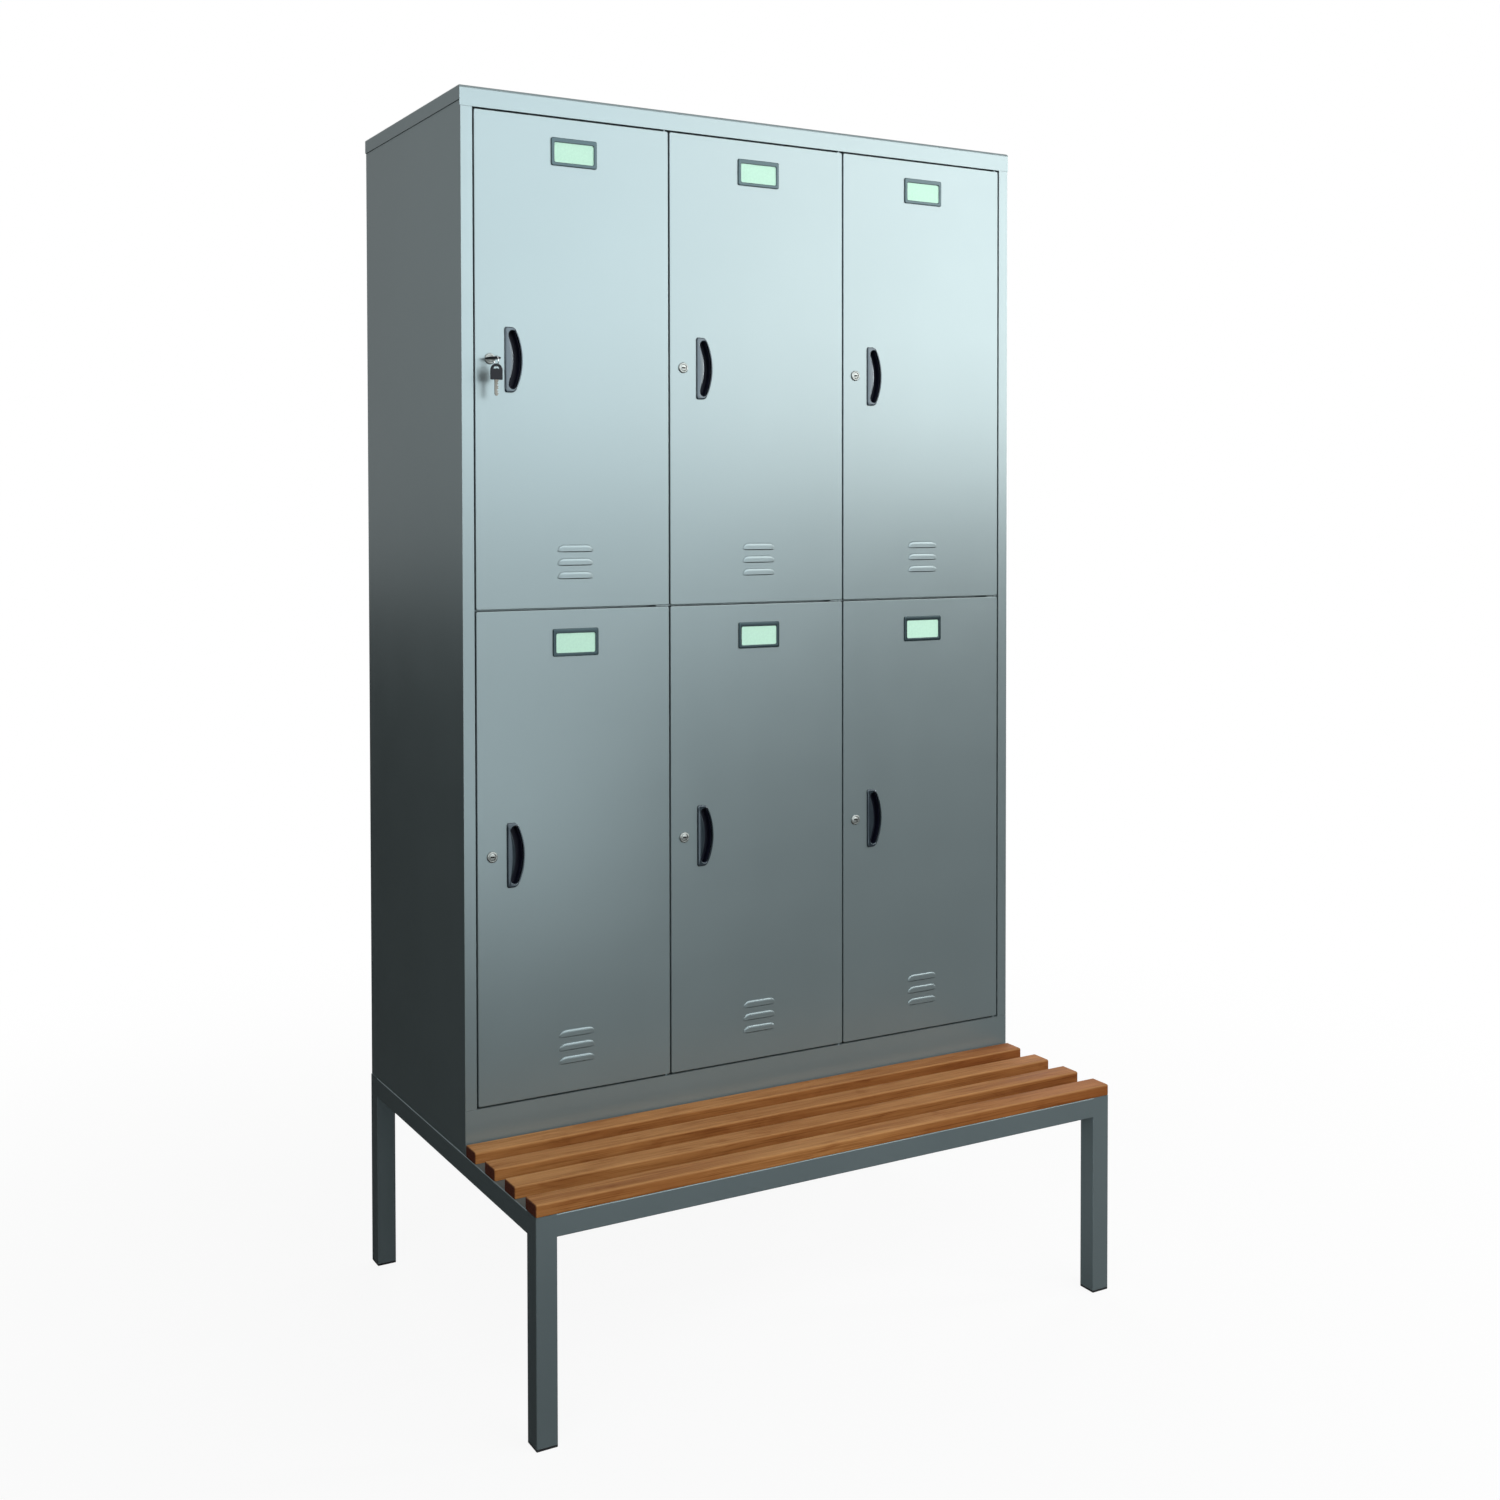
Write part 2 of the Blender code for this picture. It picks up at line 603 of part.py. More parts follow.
def build_door_mesh():
    """Door pan, with its hinge axis at X = 0, its front at Y = 0 and its foot at Z = 0."""
    left = PIVOT_INSET - DOOR_WIDTH
    right = PIVOT_INSET
    door = block((left, 0.0, 0.0), (right, DOOR_DEPTH, DOOR_HEIGHT), "door_mesh")

    def visible(a, b):
        return a.y < SEAM or b.y < SEAM

    round_edges(door, DOOR_BEND, visible)
    cut(door, block((left + SHEET, SHEET, SHEET),
                    (right - SHEET, DOOR_DEPTH - SHEET, DOOR_HEIGHT - SHEET)),
        block((left + DOOR_LIP, DOOR_DEPTH - SHEET - OVERRUN, DOOR_LIP),
              (right - DOOR_LIP, DOOR_DEPTH + OVERRUN, DOOR_HEIGHT - DOOR_LIP)))
    handle = (left + PULL_INSET, DOOR_HEIGHT - PULL_DROP)
    cut(door, along_front(pull_outline(PULL_RIM - SEAM), *handle, -OVERRUN, SHEET + OVERRUN))
    hole = circle(BARREL_RADIUS + LOCK_CLEARANCE, LOCK_SIDES)
    cut(door, along_front(hole, left + LOCK_INSET, handle[1], -OVERRUN, SHEET + OVERRUN))
    socket = circle(PIN_RADIUS + PIN_CLEARANCE, PIN_SIDES, (0.0, PIVOT_INSET))
    for low, high in ((-OVERRUN, SHEET + OVERRUN), (DOOR_HEIGHT - SHEET - OVERRUN, DOOR_HEIGHT + OVERRUN)):
        cut(door, prism(socket, "Z", low, high))
    for i in range(LOUVRES):
        foot = LOUVRE_RISE + i * LOUVRE_PITCH
        middle = (left + right) / 2
        weld(door, louvre_tool(middle, foot, False))
        cut(door, louvre_tool(middle, foot, True))
    mesh = door.data
    bpy.data.objects.remove(door, do_unlink=True)
    return mesh


def build_pull_mesh():
    """Recessed pull, with the middle of its flat side at X = 0, Z = 0."""
    plate = [(-SEAM, 0.0), (PULL_CHAMFER / 2 - PULL_STAND, 0.0), (-PULL_STAND, PULL_CHAMFER)]
    rings = [[(a, y, b) for a, b in pull_outline(offset)] for y, offset in plate]
    pull = loft(rings, "pull_mesh")
    stub = pull_outline(PULL_RIM)
    weld(pull, along_front(stub, 0.0, 0.0, -PULL_STAND / 2, PULL_DEPTH))
    deep = PULL_DEPTH - POCKET_FLOOR
    cut(pull, along_front(pocket_outline(), 0.0, 0.0, -PULL_STAND - OVERRUN, deep))
    inner = PULL_RIM + PULL_WALL
    high = PULL_HEIGHT / 2 - PULL_RIM - PULL_SHOULDER
    reach = PULL_WIDTH - POCKET_RIM - POCKET_WIDTH / 2
    cut(pull, block((inner, LIP_THICKNESS, -high), (reach, deep - SEAM, high)))
    mesh = pull.data
    bpy.data.objects.remove(pull, do_unlink=True)
    return mesh


def build_label_mesh():
    """Label holder, a frame with a shallow recess behind for the card."""
    outer = rounded_rectangle(LABEL_WIDTH, LABEL_HEIGHT, LABEL_ROUND)
    front = rounded_rectangle(LABEL_WIDTH - 2 * SHEET, LABEL_HEIGHT - 2 * SHEET, LABEL_ROUND)
    back = -SEAM
    crown = back - LABEL_THICKNESS
    rings = [[(a, back, b) for a, b in outer], [(a, crown + SHEET, b) for a, b in outer],
             [(a, crown, b) for a, b in front]]
    label = loft(rings, "label_mesh")
    window = rounded_rectangle(WINDOW_WIDTH, WINDOW_HEIGHT, WINDOW_ROUND, (0.0, -WINDOW_SHIFT))
    card = rounded_rectangle(LABEL_WIDTH - 2 * CARD_MARGIN, LABEL_HEIGHT - 2 * CARD_MARGIN, SHEET)
    cut(label, along_front(window, 0.0, 0.0, crown - OVERRUN, OVERRUN),
        along_front(card, 0.0, 0.0, back - CARD_RECESS, OVERRUN))
    mesh = label.data
    bpy.data.objects.remove(label, do_unlink=True)
    return mesh


def turned(profile, sides, name):
    """Revolve a closed profile of radius and depth round the Y axis."""
    shape = bmesh.new()
    rings = []
    for i in range(sides):
        angle = 2 * math.pi * i / sides
        rings.append([shape.verts.new((r * math.cos(angle), y, r * math.sin(angle))) for r, y in profile])
    for i, ring in enumerate(rings):
        following = rings[(i + 1) % sides]
        for j in range(len(profile)):
            k = (j + 1) % len(profile)
            shape.faces.new((ring[j], ring[k], following[k], following[j]))
    return make_object(name, shape)


def build_barrel_mesh():
    """Fixed body of the lock with its bezel and its nut, on the lock's axis."""
    bore = PLUG_RADIUS + LOCK_CLEARANCE
    end = STOP_BACK + CAM_CLEARANCE - SEAM
    face = -SEAM - BEZEL_STAND
    profile = [(bore, face), (BEZEL_RADIUS - BEZEL_ROUND, face), (BEZEL_RADIUS, face + BEZEL_ROUND),
               (BEZEL_RADIUS, -SEAM), (BARREL_RADIUS, -SEAM), (BARREL_RADIUS, end), (bore, end)]
    barrel = turned(profile, LOCK_SIDES, "barrel_mesh")
    start = SHEET + SEAM
    nut = along_front(circle(NUT_RADIUS, HEX_SIDES), 0.0, 0.0, start, start + NUT_THICKNESS)
    middle = (BARREL_RADIUS + bore) / 2
    cut(nut, along_front(circle(middle, LOCK_SIDES), 0.0, 0.0, SHEET - OVERRUN, start + NUT_THICKNESS + OVERRUN))
    weld(barrel, nut)
    mesh = barrel.data
    bpy.data.objects.remove(barrel, do_unlink=True)
    return mesh


def build_cam_mesh():
    """Turning plug with its keyway, its cam hanging down and the screw that holds it."""
    face = -SEAM - BEZEL_STAND + PLUG_RECESS
    behind = STOP_BACK + CAM_CLEARANCE
    plug = along_front(circle(PLUG_RADIUS, LOCK_SIDES), 0.0, 0.0, face, behind + CAM_THICKNESS / 2)
    half = CAM_WIDTH / 2
    reach = LOCK_INSET - STOP_OVERLAP + CAM_BITE
    outline = arc((0.0, 0.0), half, 0.0, math.pi, 6) + [(-half, half - reach)]
    outline += [(-half / 2, -reach), (half / 2, -reach), (half, half - reach)]
    weld(plug, along_front(outline, 0.0, 0.0, behind, behind + CAM_THICKNESS))
    weld(plug, along_front(circle(SCREW_RADIUS, HEX_SIDES), 0.0, 0.0, behind + CAM_THICKNESS / 2,
                           behind + CAM_THICKNESS + SCREW_HEIGHT))
    wide = BLADE_WIDTH / 2 + KEYWAY_CLEARANCE
    high = BLADE_THICKNESS / 2 + KEYWAY_CLEARANCE
    cut(plug, block((-wide, face - OVERRUN, -high), (wide, face + KEYWAY_DEPTH, high)))
    mesh = plug.data
    bpy.data.objects.remove(plug, do_unlink=True)
    return mesh


def key_outlines():
    """Head and blade of a key pointing up from its shoulder at the origin, and its hole."""
    half = BOW_WIDTH / 2
    crown = BOW_LENGTH - BOW_ROUND
    head = [(-half, 0.0), (half, 0.0)]
    head += [(half, crown - BOW_ROUND)]
    head += arc((0.0, crown), BOW_ROUND, math.radians(30), math.radians(150), 6)
    head += [(-half, crown - BOW_ROUND)]
    hole = circle(BOW_HOLE, PIN_SIDES, (0.0, BOW_LENGTH - BOW_RIM - BOW_HOLE))
    return head, hole


def blade_outline(length, overlap):
    """Key blade with its bittings, pointing down from the shoulder of the head."""
    half = BLADE_WIDTH / 2
    points = [(-half, overlap), (-half, -length + half), (0.0, -length), (half, -length + half)]
    cuts = 3
    pitch = (length - BLADE_WIDTH) / cuts
    for i in range(cuts):
        at = -length + BLADE_WIDTH / 2 + i * pitch
        points += [(half, at + pitch / 3), (half / 2, at + 2 * pitch / 3)]
    points += [(half, -half / 2), (half, overlap)]
    return points


def build_key(name, finish):
    """Key that stands in the lock, its flat head level and its blade in the keyway."""
    head, hole = key_outlines()
    shoulder = -SEAM - BEZEL_STAND - BLADE_NECK
    thick = BOW_THICKNESS / 2
    key = prism([(a, shoulder - b) for a, b in head], "Z", -thick, thick, name, finish)
    cut(key, prism([(a, shoulder - b) for a, b in hole], "Z", -thick - OVERRUN, thick + OVERRUN))
    length = BLADE_NECK + BLADE_INSERT - PLUG_RECESS
    blade = [(-b, a) for a, b in blade_outline(length, BOW_ROUND / 2)]
    flat = [(b, shoulder + a) for a, b in blade]
    thin = BLADE_THICKNESS / 2
    weld(key, prism(flat, "Z", -thin, thin))
    return key


def ring_centre():
    """Y and Z of the key ring's middle, from the axis of the lock."""
    shoulder = -SEAM - BEZEL_STAND - BLADE_NECK
    bar = shoulder - BOW_LENGTH + BOW_RIM / 2
    inner = RING_RADIUS - RING_WIRE - SEAM
    drop = math.sqrt(inner ** 2 - (BOW_RIM / 2) ** 2)
    return bar, BOW_THICKNESS / 2 - drop


def build_key_ring(name, finish):
    """Wire ring in an upright plane, through the holes of both keys."""
    bar, height = ring_centre()
    shape = bmesh.new()
    rings = []
    for i in range(RING_SIDES):
        angle = 2 * math.pi * i / RING_SIDES
        wire = circle(RING_WIRE, WIRE_SIDES, (RING_RADIUS, 0.0))
        rings.append([shape.verts.new((b, bar + a * math.cos(angle), height + a * math.sin(angle)))
                      for a, b in wire])
    for i, ring in enumerate(rings):
        following = rings[(i + 1) % RING_SIDES]
        for j in range(WIRE_SIDES):
            k = (j + 1) % WIRE_SIDES
            shape.faces.new((ring[j], ring[k], following[k], following[j]))
    return smooth(make_object(name, shape, finish))


def build_spare_key(name, finish):
    """Spare key that hangs from the ring, facing the front."""
    bar, height = ring_centre()
    head, hole = key_outlines()
    thick = BOW_THICKNESS / 2
    inner = RING_RADIUS - RING_WIRE
    sag = math.sqrt(inner ** 2 - thick ** 2)
    hole_top = height - sag + SEAM
    shoulder = hole_top + BOW_RIM - BOW_LENGTH
    key = prism([(a, shoulder + b) for a, b in head], "Y", bar - thick, bar + thick, name, finish)
    cut(key, prism([(a, shoulder + b) for a, b in hole], "Y", bar - thick - OVERRUN, bar + thick + OVERRUN))
    thin = BLADE_THICKNESS / 2
    blade = [(a, shoulder + b) for a, b in blade_outline(BLADE_LENGTH, BOW_ROUND / 2)]
    weld(key, prism(blade, "Y", bar - thin, bar + thin))
    return key


def tube_outline(first, second, offset):
    """Square tube section round a middle, drawn in by an offset."""
    size = TUBE - 2 * offset
    return rounded_rectangle(size, size, TUBE_CORNER - offset, (first, second))


def build_rail(name, axis, first, second, low, high, finish):
    """Length of square tube, open at both ends."""
    rail = prism(tube_outline(first, second, 0.0), axis, low, high, name, finish)
    cut(rail, prism(tube_outline(first, second, TUBE_WALL), axis, low - OVERRUN, high + OVERRUN))
    return smooth(rail)


def build_leg(name, x, y, finish):
    """Leg of square tube, closed at the top and open at the foot for its plug."""
    foot = PLUG_FLANGE + PLUG_CLEARANCE
    leg = prism(tube_outline(x, y, 0.0), "Z", foot, RAIL_TOP, name, finish)
    cut(leg, prism(tube_outline(x, y, TUBE_WALL), "Z", foot - OVERRUN, RAIL_TOP - TUBE_WALL))
    return smooth(leg)


def build_foot_plug(name, x, y, finish):
    """Plastic plug that closes the foot of a leg and stands on the floor."""
    inside = TUBE_WALL + PLUG_CLEARANCE
    steps = ((0.0, SHEET), (SHEET, 0.0), (PLUG_FLANGE, 0.0), (PLUG_FLANGE, inside),
             (PLUG_FLANGE + PLUG_STUB, inside))
    rings = [[(a, b, z) for a, b in tube_outline(x, y, offset)] for z, offset in steps]
    return loft(rings, name, finish)


def build_slat(name, index, finish):
    """Hardwood slat, its long edges rounded, lying on the side rails."""
    pitch = (BENCH_DEPTH - SLAT_BACK_GAP - SLAT_WIDTH) / (SLATS - 1)
    back = FRONT - SLAT_BACK_GAP - index * pitch
    slat = block((LEFT, back - SLAT_WIDTH, RAIL_TOP + SEAM), (RIGHT, back, SEAT_HEIGHT), name, finish)
    return smooth(round_edges(slat, SLAT_ROUND, lambda a, b: is_along(0, a, b)))


def put(name, mesh, finish, location, parent=None):
    """Place a copy of a shared mesh as its own object."""
    made = bpy.data.objects.new(name, mesh.copy())
    made.data.name = name
    made.data.materials.clear()
    made.data.materials.append(finish)
    bpy.context.scene.collection.objects.link(made)
    made.location = location
    made.parent = parent
    return smooth(made)


def empty(name, location, parent=None):
    """An empty that marks a joint's axis."""
    made = bpy.data.objects.new(name, None)
    made.location = location
    made.parent = parent
    bpy.context.scene.collection.objects.link(made)
    return made


def main():
    reset_scene()
    steel = material("powder_coated_steel", (0.48, 0.56, 0.58), 0.42, 0.1)
    stand = material("powder_coated_tube", (0.30, 0.35, 0.36), 0.42, 0.1)
    wood = material("varnished_hardwood", (0.33, 0.14, 0.06), 0.40)
    black = material("black_plastic", (0.03, 0.035, 0.045), 0.45)
    grey = material("grey_plastic", (0.16, 0.19, 0.20), 0.40)
    chrome = material("chrome", (0.75, 0.76, 0.78), 0.15, 1.0)
    zinc = material("zinc_plated_steel", (0.55, 0.55, 0.53), 0.35, 1.0)

    build_top_cap(steel)
    build_base_pan(steel)
    build_side_panel("side_panel_left", -1, steel)
    build_side_panel("side_panel_right", 1, steel)
    build_back_panel(steel)
    for index in range(COLUMNS - 1):
        build_partition(f"partition_{index + 1}", index, steel)
    for row in range(ROWS - 1):
        for column in range(COLUMNS):
            build_shelf(f"shelf_{row * COLUMNS + column + 1}", column, row, steel)

    half = TUBE / 2
    rail_z = RAIL_TOP - half
    columns = (("left", LEFT + half), ("right", RIGHT - half))
    lines = (("front", BENCH_FRONT + half), ("rear", REAR - half))
    for side, x in columns:
        for line, y in lines:
            build_leg(f"leg_{line}_{side}", x, y, stand)
            build_foot_plug(f"foot_plug_{line}_{side}", x, y, black)
        build_rail(f"side_rail_{side}", "Y", x, rail_z, BENCH_FRONT + TUBE + SEAM, REAR - TUBE - SEAM, stand)
    inner = TUBE + SEAM
    for line, y in lines:
        build_rail(f"{line}_rail", "X", y, rail_z, LEFT + inner, RIGHT - inner, stand)
    build_rail("cross_rail", "X", FRONT + CROSS_RAIL_SETBACK + half, rail_z, LEFT + inner, RIGHT - inner, stand)
    for index in range(SLATS):
        build_slat(f"bench_slat_{index + 1}", index, wood)

    door_mesh = build_door_mesh()
    pull_mesh = build_pull_mesh()
    label_mesh = build_label_mesh()
    barrel_mesh = build_barrel_mesh()
    cam_mesh = build_cam_mesh()
    door_left = PIVOT_INSET - DOOR_WIDTH
    for row in range(ROWS):
        for column in range(COLUMNS):
            number = row * COLUMNS + column + 1
            hinge = empty(f"hinge_{number}", (pivot_x(column), FRONT, row_bottom(row)))
            pull_z = DOOR_HEIGHT - PULL_DROP
            put(f"door_{number}", door_mesh, steel, (0.0, 0.0, 0.0), hinge)
            put(f"pull_{number}", pull_mesh, grey, (door_left + PULL_INSET, 0.0, pull_z), hinge)
            label_x = (door_left + PIVOT_INSET) / 2
            label_z = DOOR_HEIGHT - LABEL_DROP - LABEL_HEIGHT / 2
            put(f"label_holder_{number}", label_mesh, grey, (label_x, 0.0, label_z), hinge)
            lock = empty(f"lock_axis_{number}", (door_left + LOCK_INSET, 0.0, pull_z), hinge)
            put(f"lock_barrel_{number}", barrel_mesh, chrome, (0.0, 0.0, 0.0), lock)
            put(f"lock_cam_{number}", cam_mesh, zinc, (0.0, 0.0, 0.0), lock)
            if number == 1:
                for made in (build_key("key", black), build_key_ring("key_ring", chrome),
                             build_spare_key("spare_key", black)):
                    made.parent = lock


main()
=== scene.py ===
"""Looks of a six-door steel locker on a bench stand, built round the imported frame.

Metres, +Z up. X runs along the front, Y from the bench back to the wall.
"""

import math

import bmesh
import bpy
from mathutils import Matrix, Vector


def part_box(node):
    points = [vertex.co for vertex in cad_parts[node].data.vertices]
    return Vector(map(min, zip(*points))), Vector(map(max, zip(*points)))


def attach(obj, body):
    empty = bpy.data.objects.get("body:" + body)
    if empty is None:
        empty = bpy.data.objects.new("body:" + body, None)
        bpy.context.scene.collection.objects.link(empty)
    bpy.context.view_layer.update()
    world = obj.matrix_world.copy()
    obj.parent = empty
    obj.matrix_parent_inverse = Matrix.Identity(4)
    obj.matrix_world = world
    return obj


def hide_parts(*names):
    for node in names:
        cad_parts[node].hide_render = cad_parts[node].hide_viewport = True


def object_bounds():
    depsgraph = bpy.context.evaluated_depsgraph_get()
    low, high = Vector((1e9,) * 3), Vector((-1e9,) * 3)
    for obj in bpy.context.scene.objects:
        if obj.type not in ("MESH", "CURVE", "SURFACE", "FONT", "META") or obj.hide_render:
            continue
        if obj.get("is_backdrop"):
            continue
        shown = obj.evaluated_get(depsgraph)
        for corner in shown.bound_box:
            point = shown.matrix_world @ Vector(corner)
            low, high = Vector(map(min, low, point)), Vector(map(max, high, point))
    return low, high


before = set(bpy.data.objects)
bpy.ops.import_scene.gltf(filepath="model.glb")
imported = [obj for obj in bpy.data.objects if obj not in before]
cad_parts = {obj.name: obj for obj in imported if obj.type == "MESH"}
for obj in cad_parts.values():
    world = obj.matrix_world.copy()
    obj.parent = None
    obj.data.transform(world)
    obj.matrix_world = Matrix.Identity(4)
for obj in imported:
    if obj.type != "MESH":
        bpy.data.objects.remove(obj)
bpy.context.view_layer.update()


# The stand's legs and rails: square steel tube with round corners, cut to length, welded flush and
# powder coated in one go with the locker, in the same silver grey. Here that grey is set a little darker
# than the sheet's, as painted shade on the low stand. The welds are ground flat.
TUBE_CORNER = 0.0015
CROSS_RAIL_SEAM = 0.0003
SHADED_TUBE_COLOUR = (0.210, 0.256, 0.267)
SHADED_TUBE_SHADE = (0.198, 0.243, 0.254)
TUBE_GLOSS = 0.31
COAT_METAL = 0.50
COAT_EDGE = (0.22, 0.22, 0.22, 1.0)
COAT_SHINE = 0.2


def shader(name):
    """A node material, with its tree and its Principled node."""
    made = bpy.data.materials.new(name)
    made.use_nodes = True
    tree = made.node_tree
    return made, tree, tree.nodes["Principled BSDF"]


def add(tree, kind, inputs=None, **settings):
    """A node with its settings and the values of its sockets."""
    node = tree.nodes.new("ShaderNode" + kind)
    for key, value in settings.items():
        setattr(node, key, value)
    for key, value in (inputs or {}).items():
        node.inputs[key].default_value = value
    return node


def grain(tree, stretch, inputs):
    """Noise in the piece's own coordinates, stretched along its axes."""
    where = add(tree, "TexCoord")
    fit = add(tree, "Mapping", {"Scale": stretch})
    noise = add(tree, "TexNoise", inputs)
    tree.links.new(where.outputs["Object"], fit.inputs["Vector"])
    tree.links.new(fit.outputs["Vector"], noise.inputs["Vector"])
    return noise


def ramp(tree, source, stops):
    """Colours read off a grey value."""
    node = add(tree, "ValToRGB")
    node.color_ramp.elements[0].position = stops[0][0]
    node.color_ramp.elements[0].color = (*stops[0][1], 1.0)
    node.color_ramp.elements[1].position = stops[-1][0]
    node.color_ramp.elements[1].color = (*stops[-1][1], 1.0)
    for position, colour in stops[1:-1]:
        node.color_ramp.elements.new(position).color = (*colour, 1.0)
    tree.links.new(source, node.inputs["Fac"])
    return node.outputs["Color"]


def base_colour(tree, bsdf, source, stops):
    """Carry the colours of a grey value to the shader."""
    tree.links.new(ramp(tree, source, stops), bsdf.inputs["Base Color"])


def spread(tree, source, low, high, target):
    """Carry a grey value over a range into a socket of the shader."""
    node = add(tree, "MapRange", {"From Min": 0.3, "From Max": 0.7, "To Min": low, "To Max": high})
    tree.links.new(source, node.inputs["Value"])
    tree.links.new(node.outputs["Result"], target)


def relief(tree, bsdf, source, strength, depth):
    """Fine relief of a surface."""
    node = add(tree, "Bump", {"Strength": strength, "Distance": depth})
    tree.links.new(source, node.inputs["Height"])
    tree.links.new(node.outputs["Normal"], bsdf.inputs["Normal"])


def powder_coat(name, colour, shade, gloss):
    """Baked silver powder coat: nearly even colour, metal flake, soft gloss and faint orange peel."""
    made, tree, bsdf = shader(name)
    cloud = grain(tree, (1, 1, 1), {"Scale": 2.2, "Detail": 3.0})
    base_colour(tree, bsdf, cloud.outputs["Fac"], [(0.35, shade), (0.65, colour)])
    haze = grain(tree, (1, 1, 1), {"Scale": 9.0, "Detail": 4.0})
    spread(tree, haze.outputs["Fac"], gloss - 0.01, gloss + 0.01, bsdf.inputs["Roughness"])
    peel = grain(tree, (1, 1, 1), {"Scale": 300.0, "Detail": 1.0})
    relief(tree, bsdf, peel.outputs["Fac"], 0.02, 0.0004)
    bsdf.inputs["Metallic"].default_value = COAT_METAL
    bsdf.inputs["Specular Tint"].default_value = COAT_EDGE
    bsdf.inputs["Specular IOR Level"].default_value = COAT_SHINE
    return made


def ring_arc(centre, radius, start, end, steps):
    """Points along an arc, both ends included, angles in degrees."""
    turns = [math.radians(start + (end - start) * i / steps) for i in range(steps + 1)]
    return [(centre[0] + radius * math.cos(a), centre[1] + radius * math.sin(a)) for a in turns]


def soft_rectangle(low, high, radius, steps=6):
    """Outline of a rectangle with round corners between two opposite corners."""
    points = []
    for i, (sx, sy) in enumerate(((1, 1), (0, 1), (0, 0), (1, 0))):
        x = high[0] - radius if sx else low[0] + radius
        y = high[1] - radius if sy else low[1] + radius
        points += ring_arc((x, y), radius, 90 * i, 90 * i + 90, steps)
    return points


def loft(rings, closed=False):
    """A bmesh through rings with the same count of points, capped, or closed on itself."""
    shape = bmesh.new()
    made = [[shape.verts.new(point) for point in ring] for ring in rings]
    pairs = list(zip(made, made[1:]))
    if closed:
        pairs.append((made[-1], made[0]))
    for lower, upper in pairs:
        for i, corner in enumerate(lower):
            j = (i + 1) % len(lower)
            shape.faces.new((corner, lower[j], upper[j], upper[i]))
    if not closed:
        shape.faces.new(made[0][::-1])
        shape.faces.new(made[-1])
    bmesh.ops.recalc_face_normals(shape, faces=shape.faces[:])
    return shape


def to_mesh(shape, name, crease=35):
    """Mesh of a bmesh, smooth apart from its creases."""
    mesh = bpy.data.meshes.new(name)
    shape.to_mesh(mesh)
    shape.free()
    mesh.shade_smooth()
    mesh.set_sharp_from_angle(angle=math.radians(crease))
    return mesh


def show(name, mesh, finish, body, replaced=(), at=(0, 0, 0)):
    """Put a piece in place on its body, with its finish, for the plain node that it stands for."""
    made = bpy.data.objects.new(name, mesh)
    bpy.context.scene.collection.objects.link(made)
    made.location = at
    made.data.materials.clear()
    made.data.materials.append(finish)
    made.modifiers.new("flat_faces", "WEIGHTED_NORMAL").keep_sharp = True
    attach(made, body)
    if replaced:
        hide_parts(*replaced)
    return made


def point(axis, a, b, along):
    """A point of a cross-section, set along the axis that it runs on."""
    return {"X": (along, a, b), "Y": (a, along, b), "Z": (a, b, along)}[axis]


def tube_mesh(name, axis, low, high, reach=0.0):
    """Square tube between two corners of its box, its ends drawn out to meet the welds."""
    i = "XYZ".index(axis)
    across = [k for k in range(3) if k != i]
    outline = soft_rectangle([low[k] for k in across], [high[k] for k in across], TUBE_CORNER)
    ends = (low[i] - reach, high[i] + reach)
    return to_mesh(loft([[point(axis, a, b, along) for a, b in outline] for along in ends]), name)


# The tubes' coat is the sheet's colour made a little darker: painted shade on the low stand.
shaded_tube_coat = powder_coat("powder_coated_tube", SHADED_TUBE_COLOUR, SHADED_TUBE_SHADE, TUBE_GLOSS)
for side in ("left", "right"):
    for line in ("front", "rear"):
        node = f"leg_{line}_{side}"
        tube = tube_mesh(node, "Z", *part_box(node))
        show(f"{node}_tube", tube, shaded_tube_coat, "cabinet", (node,))
for node, axis, reach in (("side_rail_left", "Y", TUBE_CORNER), ("side_rail_right", "Y", TUBE_CORNER),
                          ("front_rail", "X", TUBE_CORNER), ("rear_rail", "X", TUBE_CORNER),
                          ("cross_rail", "X", CROSS_RAIL_SEAM)):
    tube = tube_mesh(node, axis, *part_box(node), reach)
    show(f"{node}_tube", tube, shaded_tube_coat, "cabinet", (node,))


# A black plastic plug is knocked into the foot of each leg. Only its flange shows, as a dark line
# between the tube and the floor, with its lower edge rounded.
PLUG_ROUND = 0.0012
PLUG_FLANGE = 0.004
STUB_INSET = 0.0018
FOOT_COLOUR = (0.022, 0.023, 0.025)
FOOT_SHADE = (0.014, 0.015, 0.016)
FOOT_GLOSS = 0.5


def moulded_plastic(name, colour, shade, gloss, shine=0.5, sheen=(1.0, 1.0, 1.0)):
    """Moulded plastic with a fine spark texture."""
    made, tree, bsdf = shader(name)
    cloud = grain(tree, (1, 1, 1), {"Scale": 30.0, "Detail": 3.0})
    base_colour(tree, bsdf, cloud.outputs["Fac"], [(0.3, shade), (0.7, colour)])
    spread(tree, cloud.outputs["Fac"], gloss - 0.04, gloss + 0.06, bsdf.inputs["Roughness"])
    spark = grain(tree, (1, 1, 1), {"Scale": 900.0, "Detail": 2.0})
    relief(tree, bsdf, spark.outputs["Fac"], 0.06, 0.0002)
    bsdf.inputs["Specular IOR Level"].default_value = shine
    bsdf.inputs["Specular Tint"].default_value = (*sheen, 1.0)
    return made


